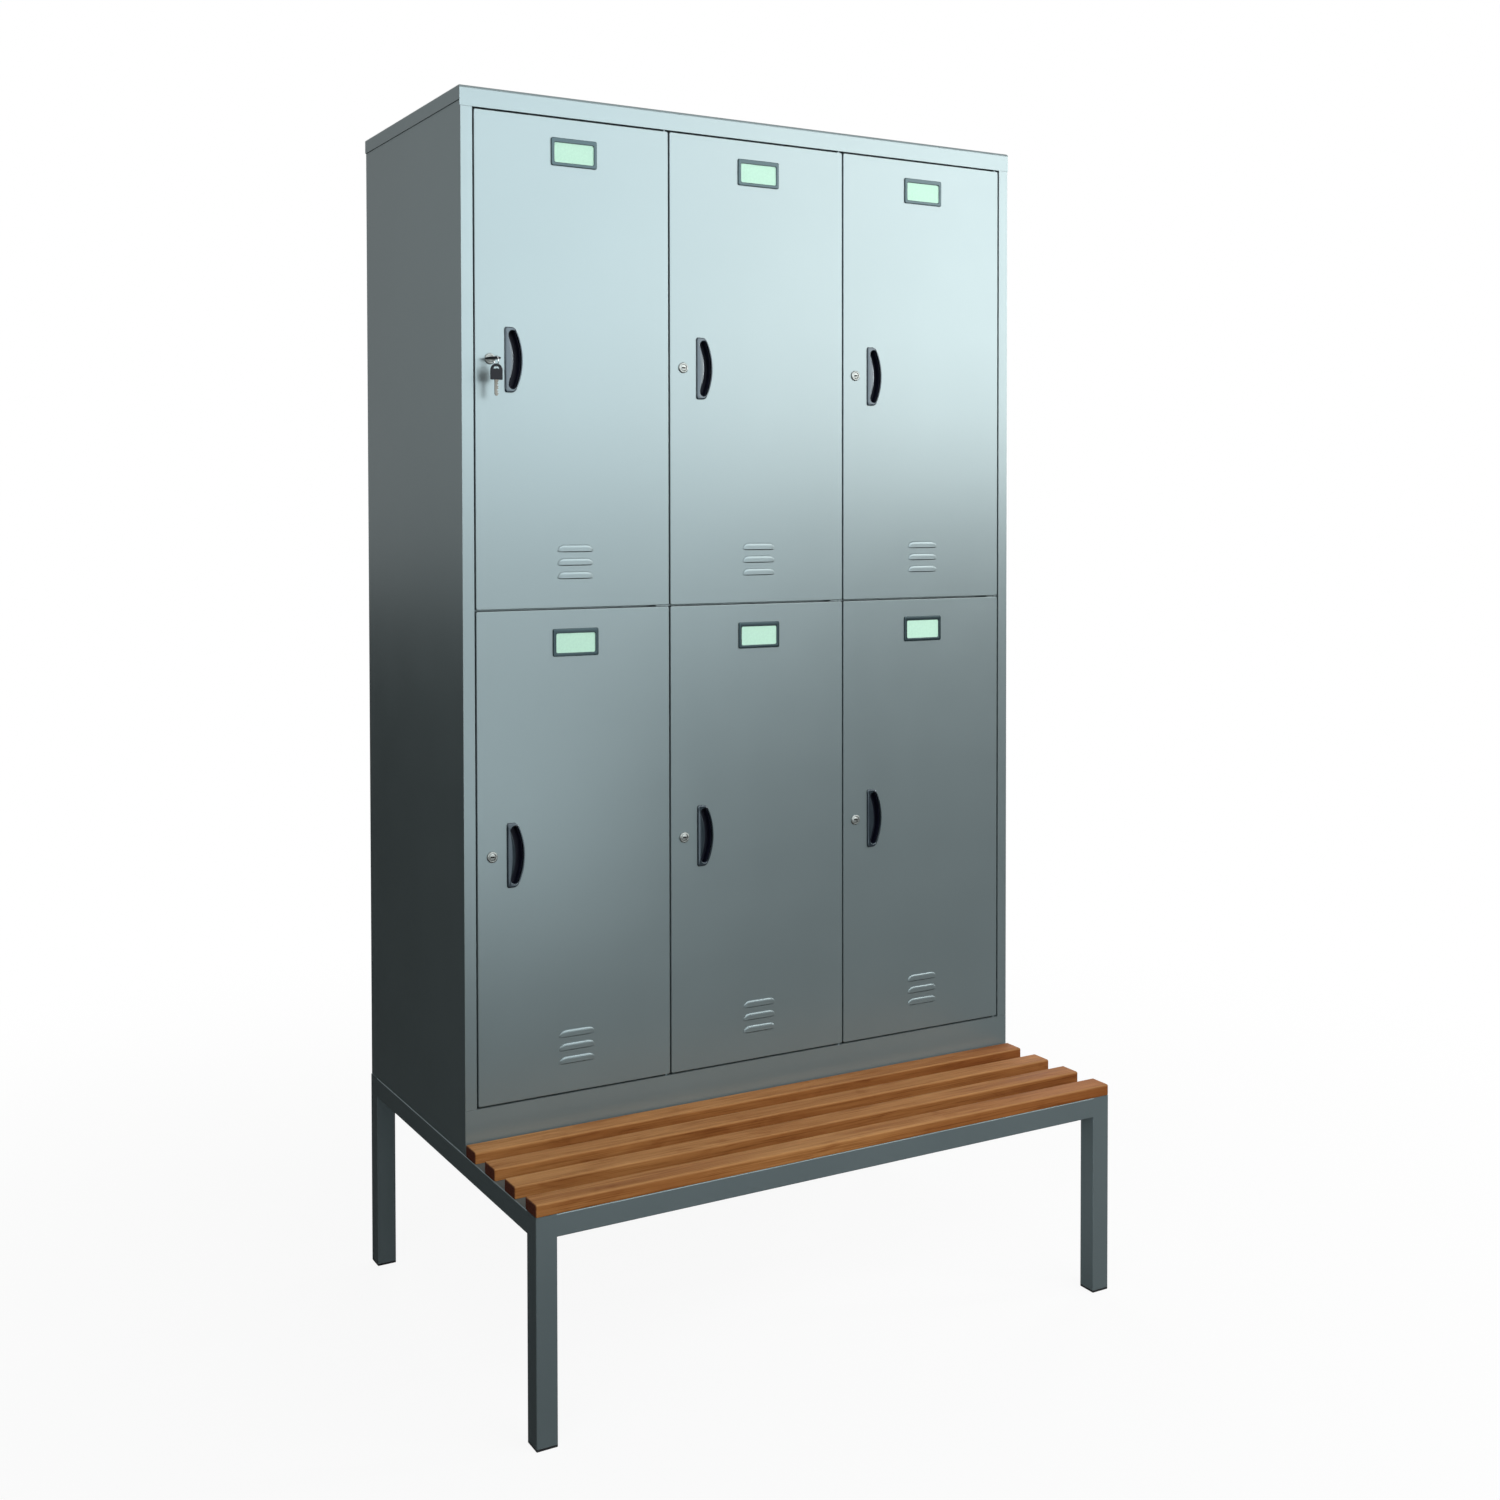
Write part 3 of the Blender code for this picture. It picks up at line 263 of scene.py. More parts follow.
foot_plastic = moulded_plastic("foot_plastic", FOOT_COLOUR, FOOT_SHADE, FOOT_GLOSS)
for side in ("left", "right"):
    for line in ("front", "rear"):
        node = f"foot_plug_{line}_{side}"
        low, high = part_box(node)
        rings = []
        for z, inset in ((0.0, PLUG_ROUND), (PLUG_ROUND / 3, PLUG_ROUND / 3), (PLUG_ROUND, 0.0),
                         (PLUG_FLANGE, 0.0), (PLUG_FLANGE, STUB_INSET), (high.z, STUB_INSET)):
            outline = soft_rectangle((low.x + inset, low.y + inset), (high.x - inset, high.y - inset),
                                     TUBE_CORNER - min(inset, PLUG_ROUND))
            rings.append([(a, b, z) for a, b in outline])
        plug = to_mesh(loft(rings), node)
        show(f"{node}_moulding", plug, foot_plastic, "cabinet", (node,))


# Bench slats: red-brown hardwood, planed, rounded over along the front and at the ends, with the
# other edges only eased, and coated with a thin satin varnish. They lie across the side rails with a
# gap between them.
SLATS = 4
SLAT_ROUND = 0.0035
SLAT_REAR = 0.0012
SLAT_END = 0.0020
SLAT_EASE = 0.0008
SLAT_LEAST = 0.0004
SLAT_END_TURNS = (0, 22, 45, 68, 90)
BOARD_SHIFT = (0.37, 0.9, 0.43)
WOOD_BANDS = [(0.30, (0.385, 0.170, 0.066)), (0.44, (0.475, 0.232, 0.090)),
              (0.56, (0.535, 0.275, 0.111)), (0.70, (0.600, 0.330, 0.141))]
WOOD_PORES = [(0.36, (0.72, 0.66, 0.60)), (0.50, (1.0, 1.0, 1.0))]
WOOD_FIGURE = [(0.32, (0.78, 0.69, 0.63)), (0.46, (0.95, 0.93, 0.91)),
               (0.60, (1.0, 1.0, 1.0)), (0.72, (1.12, 1.10, 1.05))]
WOOD_TONE = [(0.38, (0.95, 0.86, 0.80)), (0.60, (1.10, 1.11, 1.12))]
# Ends: the end grain's own dark colour, deepened by painted shade.
END_GRAIN_AND_SHADE = [(0.35, (0.060, 0.016, 0.010)), (0.65, (0.120, 0.038, 0.022))]
# Right end: more red in the wood's own tone, and darker by painted shade.
RIGHT_END_TONE_AND_SHADE = (0.76, 0.64, 0.58)
RIGHT_END_TONE_AND_SHADE_RUN = {"From Min": -0.15, "From Max": 0.575, "To Min": 0.0, "To Max": 1.0}
# Rounded edges: a painted highlight.
EDGE_HIGHLIGHT = (0.56, 0.33, 0.15)
# Front and rear faces: painted shade.
SHADED_SIDE_FACES = (0.72, 0.61, 0.49)
VARNISH_SHINE = 0.06


def varnished_wood(name):
    """Straight-grained hardwood along X, more red and darker to the right (own tone and painted shade),
    with a painted highlight on rounded edges, painted shade on front and rear faces and on the dark end
    grain.
    """
    made, tree, bsdf = shader(name)
    board = add(tree, "Attribute", attribute_name="board")
    where = add(tree, "TexCoord")
    shift = add(tree, "VectorMath", operation="ADD")
    tree.links.new(where.outputs["Object"], shift.inputs[0])
    tree.links.new(board.outputs["Vector"], shift.inputs[1])

    def streaks(stretch, inputs):
        fit = add(tree, "Mapping", {"Scale": stretch})
        noise = add(tree, "TexNoise", inputs)
        tree.links.new(shift.outputs["Vector"], fit.inputs["Vector"])
        tree.links.new(fit.outputs["Vector"], noise.inputs["Vector"])
        return noise.outputs["Fac"]

    def laid_over(under, colour, share=None, blend="MULTIPLY"):
        node = add(tree, "MixRGB", {"Fac": 1.0}, blend_type=blend)
        tree.links.new(under, node.inputs["Color1"])
        if isinstance(colour, tuple):
            node.inputs["Color2"].default_value = (*colour, 1.0)
        else:
            tree.links.new(colour, node.inputs["Color2"])
        if share is not None:
            tree.links.new(share, node.inputs["Fac"])
        return node.outputs["Color"]

    def split(vector):
        node = add(tree, "SeparateXYZ")
        tree.links.new(vector, node.inputs["Vector"])
        return node.outputs

    def arithmetic(operation, *values):
        node = add(tree, "Math", operation=operation)
        for i, value in enumerate(values):
            tree.links.new(value, node.inputs[i])
        return node.outputs["Value"]

    bands = streaks((1.3, 24, 24), {"Scale": 1.7, "Detail": 6.0, "Roughness": 0.64, "Distortion": 0.7})
    pores = streaks((5, 420, 420), {"Scale": 1.6, "Detail": 3.0})
    figure = streaks((5, 22, 22), {"Scale": 1.5, "Detail": 5.0, "Roughness": 0.6, "Distortion": 1.2})
    tone = streaks((1.1, 4, 4), {"Scale": 1.0, "Detail": 2.0})
    wood = ramp(tree, bands, WOOD_BANDS)
    for source, stops in ((pores, WOOD_PORES), (figure, WOOD_FIGURE), (tone, WOOD_TONE)):
        wood = laid_over(wood, ramp(tree, source, stops))
    # The boards turn more red and darker towards the right end: partly the wood's own tone, partly painted
    # shade.
    right_tone_and_shade = add(tree, "MapRange", RIGHT_END_TONE_AND_SHADE_RUN)
    tree.links.new(split(where.outputs["Object"])["X"], right_tone_and_shade.inputs["Value"])
    wood = laid_over(wood, RIGHT_END_TONE_AND_SHADE, right_tone_and_shade.outputs["Result"])
    facing = split(where.outputs["Normal"])
    corner = arithmetic("MULTIPLY", facing["Y"], facing["Z"])
    # Lighter colour on the rounded edges, where the normal leans between Y and Z: a painted highlight.
    wood = laid_over(wood, EDGE_HIGHLIGHT, arithmetic("ABSOLUTE", corner), "MIX")
    # Faces turned to the front and rear are darkened: painted shade.
    wood = laid_over(wood, SHADED_SIDE_FACES, arithmetic("ABSOLUTE", facing["Y"]))
    # The ends take a very dark colour: partly the end grain's own, partly painted shade.
    shaded_end_grain = ramp(tree, streaks((1, 300, 300), {"Scale": 1.5, "Detail": 3.0}), END_GRAIN_AND_SHADE)
    wood = laid_over(wood, shaded_end_grain, arithmetic("ABSOLUTE", facing["X"]), "MIX")
    tree.links.new(wood, bsdf.inputs["Base Color"])
    spread(tree, bands, 0.48, 0.62, bsdf.inputs["Roughness"])
    relief(tree, bsdf, pores, 0.25, 0.0002)
    bsdf.inputs["Specular IOR Level"].default_value = VARNISH_SHINE
    return made


def slat_outline(low, high, inset):
    """Cross-section of a slat, rounded over along its front and eased along its other edges."""
    left, right = low.y + inset, high.y - inset
    foot, top = low.z + min(inset, SLAT_EASE), high.z - inset
    wide, rear = SLAT_ROUND - inset, max(SLAT_REAR - inset, SLAT_LEAST)
    points = ring_arc((right - rear, top - rear), rear, 0, 90, 5)
    points += ring_arc((left + wide, top - wide), wide, 90, 180, 5)
    points += ring_arc((left + SLAT_EASE, foot + SLAT_EASE), SLAT_EASE, 180, 270, 2)
    return points + ring_arc((right - SLAT_EASE, foot + SLAT_EASE), SLAT_EASE, 270, 360, 2)


slat_wood = varnished_wood("varnished_hardwood")
slat_end = [(SLAT_END * (1 - math.cos(math.radians(t))), SLAT_END * (1 - math.sin(math.radians(t))))
            for t in SLAT_END_TURNS]
for index in range(SLATS):
    node = f"bench_slat_{index + 1}"
    low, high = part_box(node)
    sections = [(low.x + e, i) for e, i in slat_end] + [(high.x - e, i) for e, i in slat_end[::-1]]
    rings = [[(along, a, b) for a, b in slat_outline(low, high, inset)] for along, inset in sections]
    mesh = to_mesh(loft(rings), node)
    board = mesh.attributes.new("board", "FLOAT_VECTOR", "POINT")
    board.data.foreach_set("vector", [shift * index for shift in BOARD_SHIFT] * len(mesh.vertices))
    show(f"{node}_board", mesh, slat_wood, "cabinet", (node,))


# Locker body: 1 mm sheet, folded and spot welded, then powder coated silver grey inside and out.
# Each fold keeps a small outside radius, only the cap is bent softly along its front.
FOLD = 0.00045
CAP_BEND = 0.006
SHEET = 0.001
SHEET_COLOUR = (0.230, 0.280, 0.290)
SHEET_SHADE = (0.222, 0.271, 0.281)
SHEET_GLOSS = 0.29
SAME_POINT = 0.00001
FLAT_WITHIN = 1
FOLD_FROM = 50
CARVED_CREASE = 28

steel_coat = powder_coat("powder_coated_sheet", SHEET_COLOUR, SHEET_SHADE, SHEET_GLOSS)


def folded(node):
    """The sheet of a frame node with its folds and cut edges eased."""
    shape = bmesh.new()
    shape.from_mesh(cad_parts[node].data)
    bmesh.ops.remove_doubles(shape, verts=shape.verts[:], dist=SAME_POINT)
    bmesh.ops.dissolve_limit(shape, angle_limit=math.radians(FLAT_WITHIN), verts=shape.verts[:],
                             edges=shape.edges[:])
    sharp = [e for e in shape.edges
             if len(e.link_faces) == 2 and e.calc_face_angle() > math.radians(FOLD_FROM)]
    bmesh.ops.bevel(shape, geom=sharp, offset=FOLD, segments=2, profile=0.5, affect="EDGES",
                    clamp_overlap=True)
    return to_mesh(shape, node)


def carve(target, tools, operation):
    """Apply a Boolean with each tool to a mesh, and hand back the mesh."""
    made = bpy.data.objects.new("work", target)
    bpy.context.scene.collection.objects.link(made)
    for tool_mesh in tools:
        tool = bpy.data.objects.new("tool", tool_mesh)
        bpy.context.scene.collection.objects.link(tool)
        step = made.modifiers.new(operation, "BOOLEAN")
        step.operation = operation
        step.solver = "EXACT"
        step.object = tool
        bpy.context.view_layer.update()
        result = bpy.data.meshes.new_from_object(made.evaluated_get(bpy.context.evaluated_depsgraph_get()))
        made.modifiers.clear()
        made.data = result
        bpy.data.objects.remove(tool)
    result = made.data
    bpy.data.objects.remove(made)
    result.shade_smooth()
    result.set_sharp_from_angle(angle=math.radians(CARVED_CREASE))
    return result


def prism(outline, axis, low, high):
    """Mesh of an outline that is extruded along an axis."""
    return to_mesh(loft([[point(axis, a, b, along) for a, b in outline] for along in (low, high)]), "tool")


for node in ("side_panel_left", "side_panel_right", "base_pan", "back_panel", "partition_1", "partition_2",
             "shelf_1", "shelf_2", "shelf_3"):
    show(f"{node}_sheet", folded(node), steel_coat, "cabinet", (node,))
low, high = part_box("top_cap")
past = [(low.y + CAP_BEND, high.z + SHEET), (low.y - SHEET, high.z + SHEET),
        (low.y - SHEET, high.z - CAP_BEND)]
past += ring_arc((low.y + CAP_BEND, high.z - CAP_BEND), CAP_BEND, 180, 90, 10)
cap = carve(folded("top_cap"), [prism(past, "X", low.x - SHEET, high.x + SHEET)], "DIFFERENCE")
show("top_cap_sheet", cap, steel_coat, "cabinet", ("top_cap",))


# Doors: folded pans of 1 mm sheet with rounded front edges and corners, a D-shaped cut-out for the
# pull, a hole for the lock, and three louvres pressed outwards near the foot.
DOOR_DEPTH = 0.019
DOOR_ROUND = 0.0010
DOOR_CORNER = 0.0030
DOOR_LIP = 0.012
PULL_LEFT = 0.053
PULL_DROP = 0.417
PULL_SIZE = (0.0325, 0.111)
PULL_ARC = 0.116
PULL_SHOULDER = 0.010
PULL_CORNER = 0.002
LOCK_LEFT = 0.0265
LOUVRE = (0.068, 0.0115, 0.0050)
LOUVRE_FIRST = 0.051
LOUVRE_PITCH = 0.0232
LOUVRE_SHELL = ((0.05, 0.998), (0.12, 0.98), (0.19, 0.95), (0.25, 0.905), (0.30, 0.85), (0.34, 0.78),
                (0.37, 0.70), (0.385, 0.60), (0.39, 0.50), (0.39, 0.0))
LOUVRE_SLIT = 0.0016
LOUVRE_ENDS = ((0.0, 0.04), (0.0005, 0.20), (0.0012, 0.40), (0.0024, 0.58), (0.0045, 0.75), (0.0070, 0.88),
               (0.0100, 0.97), (0.0130, 1.0))
LOUVRES = 3
LOUVRE_BACK = 0.002
DOOR_EDGE = ((0.0, 1.0), (0.03, 0.76), (0.13, 0.5), (0.29, 0.29), (0.5, 0.13), (0.76, 0.03), (1.0, 0.0))
PAN_CORNER = 0.002
RETURN_CORNER = 0.004
CUT_OUT_INSET = 0.0037
LOCK_HOLE = 0.0083


def circle(centre, radius, sides):
    """Points of a round or many-sided outline."""
    return ring_arc(centre, radius, 0, 360 - 360 / sides, sides - 1)


def set_back(outline, depth):
    """An outline seen from the front, set at a depth behind the door's face."""
    return [(a, depth, b) for a, b in outline]


def pull_outline(offset, steps=24):
    """D shape of the pull from the front: flat on the left, bowed on the right."""
    radius = PULL_ARC - offset
    shoulder = PULL_SHOULDER - offset
    top = PULL_SIZE[1] / 2 - offset
    hub = PULL_SIZE[0] - PULL_ARC
    across = hub + math.sqrt((radius - shoulder) ** 2 - (top - shoulder) ** 2)
    turn = math.degrees(math.atan2(top - shoulder, across - hub))
    upper = ring_arc((across, top - shoulder), shoulder, 90, turn, 6)
    side = ring_arc((hub, 0.0), radius, turn, -turn, steps)[1:-1]
    lower = [(a, -b) for a, b in upper[::-1]]
    left = ring_arc((offset + PULL_CORNER, -top + PULL_CORNER), PULL_CORNER, 270, 180, 3)
    left += ring_arc((offset + PULL_CORNER, top - PULL_CORNER), PULL_CORNER, 180, 90, 3)
    return left, upper, side, lower


def louvre_mesh(x, z, inside):
    """Outside of a pressed louvre, or the hollow under it, which is open at its foot."""
    inset = SHEET if inside else 0.0
    half = LOUVRE[0] / 2 - inset
    top = LOUVRE[1] - inset
    bulge = LOUVRE[2] - inset
    back = SHEET + LOUVRE_BACK if inside else SHEET / 2
    ends = [(half - a, b) for a, b in LOUVRE_ENDS]
    rings = []
    for along, scale in [(-a, b) for a, b in ends] + ends[::-1]:
        ring = [(x + along, -a * bulge * scale, z + b * top * scale) for a, b in LOUVRE_SHELL]
        if inside:
            ring.append((x + along, -bulge * scale, z - LOUVRE_SLIT * scale))
        ring.append((x + along, back, ring[-1][2]))
        ring.append((x + along, back, z + top * scale))
        rings.append(ring)
    return to_mesh(loft(rings), "tool")


low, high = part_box("door_1")
door_width = high.x - low.x
door_height = high.z - low.z
front = high.y - DOOR_DEPTH
pull_at = (PULL_LEFT, door_height - PULL_DROP)
rings = []
for depth, inset in [(DOOR_ROUND * a, DOOR_ROUND * b) for a, b in DOOR_EDGE] + [(DOOR_DEPTH, 0.0)]:
    outline = soft_rectangle((inset, inset), (door_width - inset, door_height - inset),
                             DOOR_CORNER - inset, 4)
    rings.append(set_back(outline, depth))
pan = to_mesh(loft(rings), "door")
hollow = soft_rectangle((SHEET, SHEET), (door_width - SHEET, door_height - SHEET), PAN_CORNER, 3)
mouth = soft_rectangle((DOOR_LIP, DOOR_LIP), (door_width - DOOR_LIP, door_height - DOOR_LIP),
                       RETURN_CORNER, 3)
left, upper, side, lower = pull_outline(CUT_OUT_INSET)
d_hole = [(pull_at[0] + a, pull_at[1] + b) for a, b in left + upper + side + lower]
lock_hole = circle((LOCK_LEFT, pull_at[1]), LOCK_HOLE, 24)
pan = carve(pan, [prism(hollow, "Y", SHEET, DOOR_DEPTH - SHEET),
                  prism(mouth, "Y", DOOR_DEPTH - 2 * SHEET, DOOR_DEPTH + SHEET),
                  prism(d_hole, "Y", -SHEET, 2 * SHEET),
                  prism(lock_hole, "Y", -SHEET, 2 * SHEET)], "DIFFERENCE")
for index in range(LOUVRES):
    foot = LOUVRE_FIRST + index * LOUVRE_PITCH
    pan = carve(pan, [louvre_mesh(door_width / 2, foot, False)], "UNION")
    pan = carve(pan, [louvre_mesh(door_width / 2, foot, True)], "DIFFERENCE")
corners = {}
for number in range(1, 7):
    node, leaf = f"door_{number}", f"door_leaf_{number}"
    low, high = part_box(node)
    corners[number] = Vector((low.x, front, low.z))
    show(f"{node}_pan", pan, steel_coat, leaf, (node,), corners[number])


# Pulls: a D-shaped plate of blue-grey moulded plastic round a curved pocket for the fingertips, with
# a rounded lip on its left. A cup behind the plate is clipped into the door, coloured near black as
# painted shade in the deep pocket.
POCKET_WIDTH = 0.0145
POCKET_RIM = 0.0022
POCKET_MARGIN = 0.0065
PULL_STAND = 0.0030
CUP_INSET = 0.0042
CUP_DEPTH = 0.0139
RUNS = (30, 14, 40, 14)
PLATE_EDGE = ((-0.0003, 0.0), (-0.0012, 0.0), (-0.0021, 0.0004), (-0.0027, 0.0010), (-PULL_STAND, 0.0020))
PLATE_CROWN = ((0.3, 0.0002), (0.6, 0.0003), (0.85, 0.0002))
LIP_SWELL = 2.5
LIP_EDGE = ((-PULL_STAND, 0.0018), (-0.0029, 0.00145), (-0.00275, 0.0012), (-0.00243, 0.0008),
            (-0.00213, 0.0005), (-0.00175, 0.0002), (-0.0008, 0.0), (-0.0003, 0.0))
CUP_PROFILE = ((0.0, 0.0001), (0.0040, 0.0), (0.0115, -0.0004), (0.0124, -0.0014), (0.0126, -0.0030))
PULL_COLOUR = (0.026, 0.035, 0.043)
PULL_SHADE = (0.020, 0.029, 0.036)
PULL_GLOSS = 0.18
PULL_SHINE = 0.75
PULL_SHEEN = (0.76, 0.90, 1.0)
# The cup's near-black colour is painted shade in the pocket.
POCKET_SHADE_COLOUR = (0.005, 0.007, 0.018)
POCKET_SHADE_DARKER = (0.004, 0.005, 0.013)
CUP_GLOSS = 0.5
CUP_SHINE = 0.2
TINY = 1e-12


def resample(points, count):
    """Points at even distances along an open line, its first one kept and its last one left out."""
    line = [Vector(p) for p in points]
    marks = [0.0]
    for a, b in zip(line, line[1:]):
        marks.append(marks[-1] + (b - a).length)
    made = []
    for i in range(count):
        want = marks[-1] * i / count
        k = max(j for j in range(len(marks) - 1) if marks[j] <= want + TINY)
        share = (want - marks[k]) / max(marks[k + 1] - marks[k], TINY)
        made.append(tuple(line[k].lerp(line[k + 1], share)))
    return made


def in_runs(lines):
    """Four lines end to end, each with its own count of points."""
    return [p for line, count in zip(lines, RUNS) for p in resample(line, count)]


def pull_ring(offset):
    """The D shape in four runs that match the pocket's."""
    left, upper, side, lower = pull_outline(offset)
    bow = [upper[-1]] + side + [lower[0]]
    return in_runs((left, [left[-1]] + upper, bow, lower + [left[0]]))


def pocket_ring(offset):
    """The crescent of the pocket, drawn out by an offset, in the same four runs."""
    half = POCKET_WIDTH / 2 + offset
    hub = PULL_SIZE[0] - PULL_ARC
    radius = PULL_ARC - POCKET_RIM - POCKET_WIDTH / 2
    turn = math.degrees(math.asin((PULL_SIZE[1] / 2 - POCKET_MARGIN - POCKET_WIDTH / 2) / radius))
    top = (hub + radius * math.cos(math.radians(turn)), radius * math.sin(math.radians(turn)))
    inner = ring_arc((hub, 0.0), radius - half, -turn, turn, 24)
    cap = ring_arc(top, half, turn + 180, turn, 12)
    outer = ring_arc((hub, 0.0), radius + half, turn, -turn, 24)
    foot = ring_arc((top[0], -top[1]), half, -turn, -turn - 180, 12)
    return in_runs((inner, cap, outer, foot))


def blend_rings(first, second, shares):
    """Points between two rings, each by its own share."""
    return [(a[0] + (b[0] - a[0]) * share, a[1] + (b[1] - a[1]) * share)
            for a, b, share in zip(first, second, shares)]


def lip_ring(offset):
    """The pocket's edge, its left side drawn out into a rounded lip that is widest half way up."""
    swell = [math.sin(math.pi * i / RUNS[0]) if i < RUNS[0] else 0.0 for i in range(sum(RUNS))]
    return blend_rings(pocket_ring(offset), pocket_ring(offset * LIP_SWELL), swell)


plate, mouth = pull_ring(PLATE_EDGE[-1][1]), lip_ring(LIP_EDGE[0][1])
rings = [set_back(pull_ring(offset), depth) for depth, offset in PLATE_EDGE]
for share, crown in PLATE_CROWN:
    rings.append([(a, -PULL_STAND - (crown if i < RUNS[0] else 0.0), b)
                  for i, (a, b) in enumerate(blend_rings(plate, mouth, [share] * sum(RUNS)))])
rings += [set_back(lip_ring(offset), depth) for depth, offset in LIP_EDGE]
plate_mesh = to_mesh(loft(rings, closed=True), "pull_plate", crease=60)
rings = [set_back(pull_ring(CUP_INSET), depth) for depth in (CUP_DEPTH, 0.0)]
rings += [set_back(pocket_ring(offset), depth) for depth, offset in CUP_PROFILE]
cup_mesh = to_mesh(loft(rings), "pull_cup", crease=60)
pull_plastic = moulded_plastic("pull_plastic", PULL_COLOUR, PULL_SHADE, PULL_GLOSS, PULL_SHINE, PULL_SHEEN)
# The cup's near-black colour paints the shade in the pocket.
pocket_shade_plastic = moulded_plastic("pocket_shade_plastic", POCKET_SHADE_COLOUR, POCKET_SHADE_DARKER, CUP_GLOSS, CUP_SHINE)
for number in range(1, 7):
    at = corners[number] + Vector((pull_at[0], 0.0, pull_at[1]))
    leaf = f"door_leaf_{number}"
    show(f"pull_{number}_plate", plate_mesh, pull_plastic, leaf, (f"pull_{number}",), at)
    show(f"pull_{number}_cup", cup_mesh, pocket_shade_plastic, leaf, (), at)


# Label holders: a grey moulded frame glued on near the top of each door, wider above its window,
# with a bare pale green card slipped in behind.
LABEL_SIZE = (0.086, 0.048)
LABEL_DROP = 0.033
WINDOW_SIZE = (0.074, 0.034)
WINDOW_SHIFT = 0.0010
CARD_SIZE = (0.079, 0.039)
FRAME_EDGE = ((-0.0003, 0.0), (-0.0015, 0.0), (-0.0022, 0.0003), (-0.0027, 0.0010))
WINDOW_EDGE = ((-0.0027, -0.0009), (-0.0023, -0.0003), (-0.0018, 0.0), (-0.0011, 0.0))
FRAME_BACK = (-0.0011, -0.0003)
FRAME_ROUND = 0.003
SEAT_INSET = 0.003
CARD_FACES = (-0.0004, -0.0009)
CARD_ROUND = 0.001
CARD_GREENS = [(0.3, (0.520, 0.800, 0.640)), (0.7, (0.570, 0.860, 0.690))]
CARD_ROUGHNESS = 0.75
LABEL_COLOUR = (0.018, 0.030, 0.034)
LABEL_SHADE = (0.014, 0.024, 0.028)
LABEL_GLOSS = 0.20
LABEL_SHINE = 0.65
LABEL_SHEEN = (0.62, 0.88, 0.95)


def frame_ring(size, offset, radius, shift=0.0):
    """Round-cornered outline about a middle, drawn in by an offset."""
    half = (size[0] / 2 - offset, size[1] / 2 - offset)
    return soft_rectangle((-half[0], -half[1] - shift), (half[0], half[1] - shift), radius, 5)


rings = [set_back(frame_ring(LABEL_SIZE, offset, FRAME_ROUND), depth) for depth, offset in FRAME_EDGE]
rings += [set_back(frame_ring(WINDOW_SIZE, offset, FRAME_ROUND, WINDOW_SHIFT), depth)
          for depth, offset in WINDOW_EDGE]
rings += [set_back(frame_ring(LABEL_SIZE, SEAT_INSET, CARD_ROUND), depth) for depth in FRAME_BACK]
label_mesh = to_mesh(loft(rings, closed=True), "label", crease=50)
label_plastic = moulded_plastic("label_plastic", LABEL_COLOUR, LABEL_SHADE, LABEL_GLOSS, LABEL_SHINE,
                                LABEL_SHEEN)
card = loft([set_back(frame_ring(CARD_SIZE, 0.0, CARD_ROUND), depth) for depth in CARD_FACES])
card_mesh = to_mesh(card, "card")
card_paper, tree, bsdf = shader("card_paper")
fibre = grain(tree, (1, 1, 1), {"Scale": 260.0, "Detail": 5.0})
base_colour(tree, bsdf, fibre.outputs["Fac"], CARD_GREENS)
relief(tree, bsdf, fibre.outputs["Fac"], 0.15, 0.0001)
bsdf.inputs["Roughness"].default_value = CARD_ROUGHNESS
for number in range(1, 7):
    at = corners[number] + Vector((door_width / 2, 0.0, door_height - LABEL_DROP - LABEL_SIZE[1] / 2))
    leaf = f"door_leaf_{number}"
    show(f"label_holder_{number}_frame", label_mesh, label_plastic, leaf,
         (f"label_holder_{number}",), at)
    show(f"label_card_{number}", card_mesh, card_paper, leaf, (), at)


# Cam locks: a chrome-plated zinc barrel with a rounded bezel, clamped behind the door by a hexagonal
# nut. The plug inside turns with its key and carries a flat steel cam, held on by a screw.
BEZEL = 0.0095
BORE = 0.0062
BARREL = 0.0080
BARREL_END = 0.0232
BARREL_PROFILE = ((BORE, -0.0023), (BORE + 0.0003, -0.0027), (0.0074, -0.0028), (0.0083, -0.0026),
                  (0.0090, -0.0021), (0.0094, -0.0014), (BEZEL, -0.0009), (BEZEL, -0.0003),
                  (BARREL, -0.0003), (BARREL, BARREL_END), (BORE + 0.0001, BARREL_END))
NUT_PROFILE = ((0.0013, 0.0104), (0.0016, 0.011), (0.0040, 0.011), (0.0043, 0.0104))
NUT_BORE = 0.0081
NUT_HOLE = (0.0, 0.006)
PLUG_PROFILE = ((-0.00245, 0.0008), (-0.00242, 0.0020), (-0.00234, 0.0032), (-0.00222, 0.0043),
                (-0.00206, 0.0052), (-0.00180, 0.0058), (-0.0014, 0.0060), (0.0246, 0.0060))
KEYWAY = (0.0037, 0.0013)
KEYWAY_RUN = (-0.004, 0.0140)
CAM_HALF = 0.007
CAM_ROUND = 0.0035
CAM_STRAIGHT = 0.0155
CAM_REACH = 0.0190
CAM_PROFILE = ((0.0235, 0.985), (0.0238, 1.0), (0.0252, 1.0), (0.0255, 0.985))
SCREW_PROFILE = ((0.0246, 0.0040), (0.0270, 0.0040), (0.0278, 0.0034), (0.0280, 0.0024))
SCREW_SLOT = (0.0050, 0.0005)
SCREW_SLOT_RUN = (0.0268, 0.0300)
CHROME_COLOUR = (0.31, 0.33, 0.32)
CHROME_SHADE = (0.25, 0.27, 0.26)
CHROME_GLOSS = 0.38
ZINC_COLOUR = (0.58, 0.58, 0.55)
ZINC_SHADE = (0.46, 0.46, 0.43)
ZINC_GLOSS = 0.32


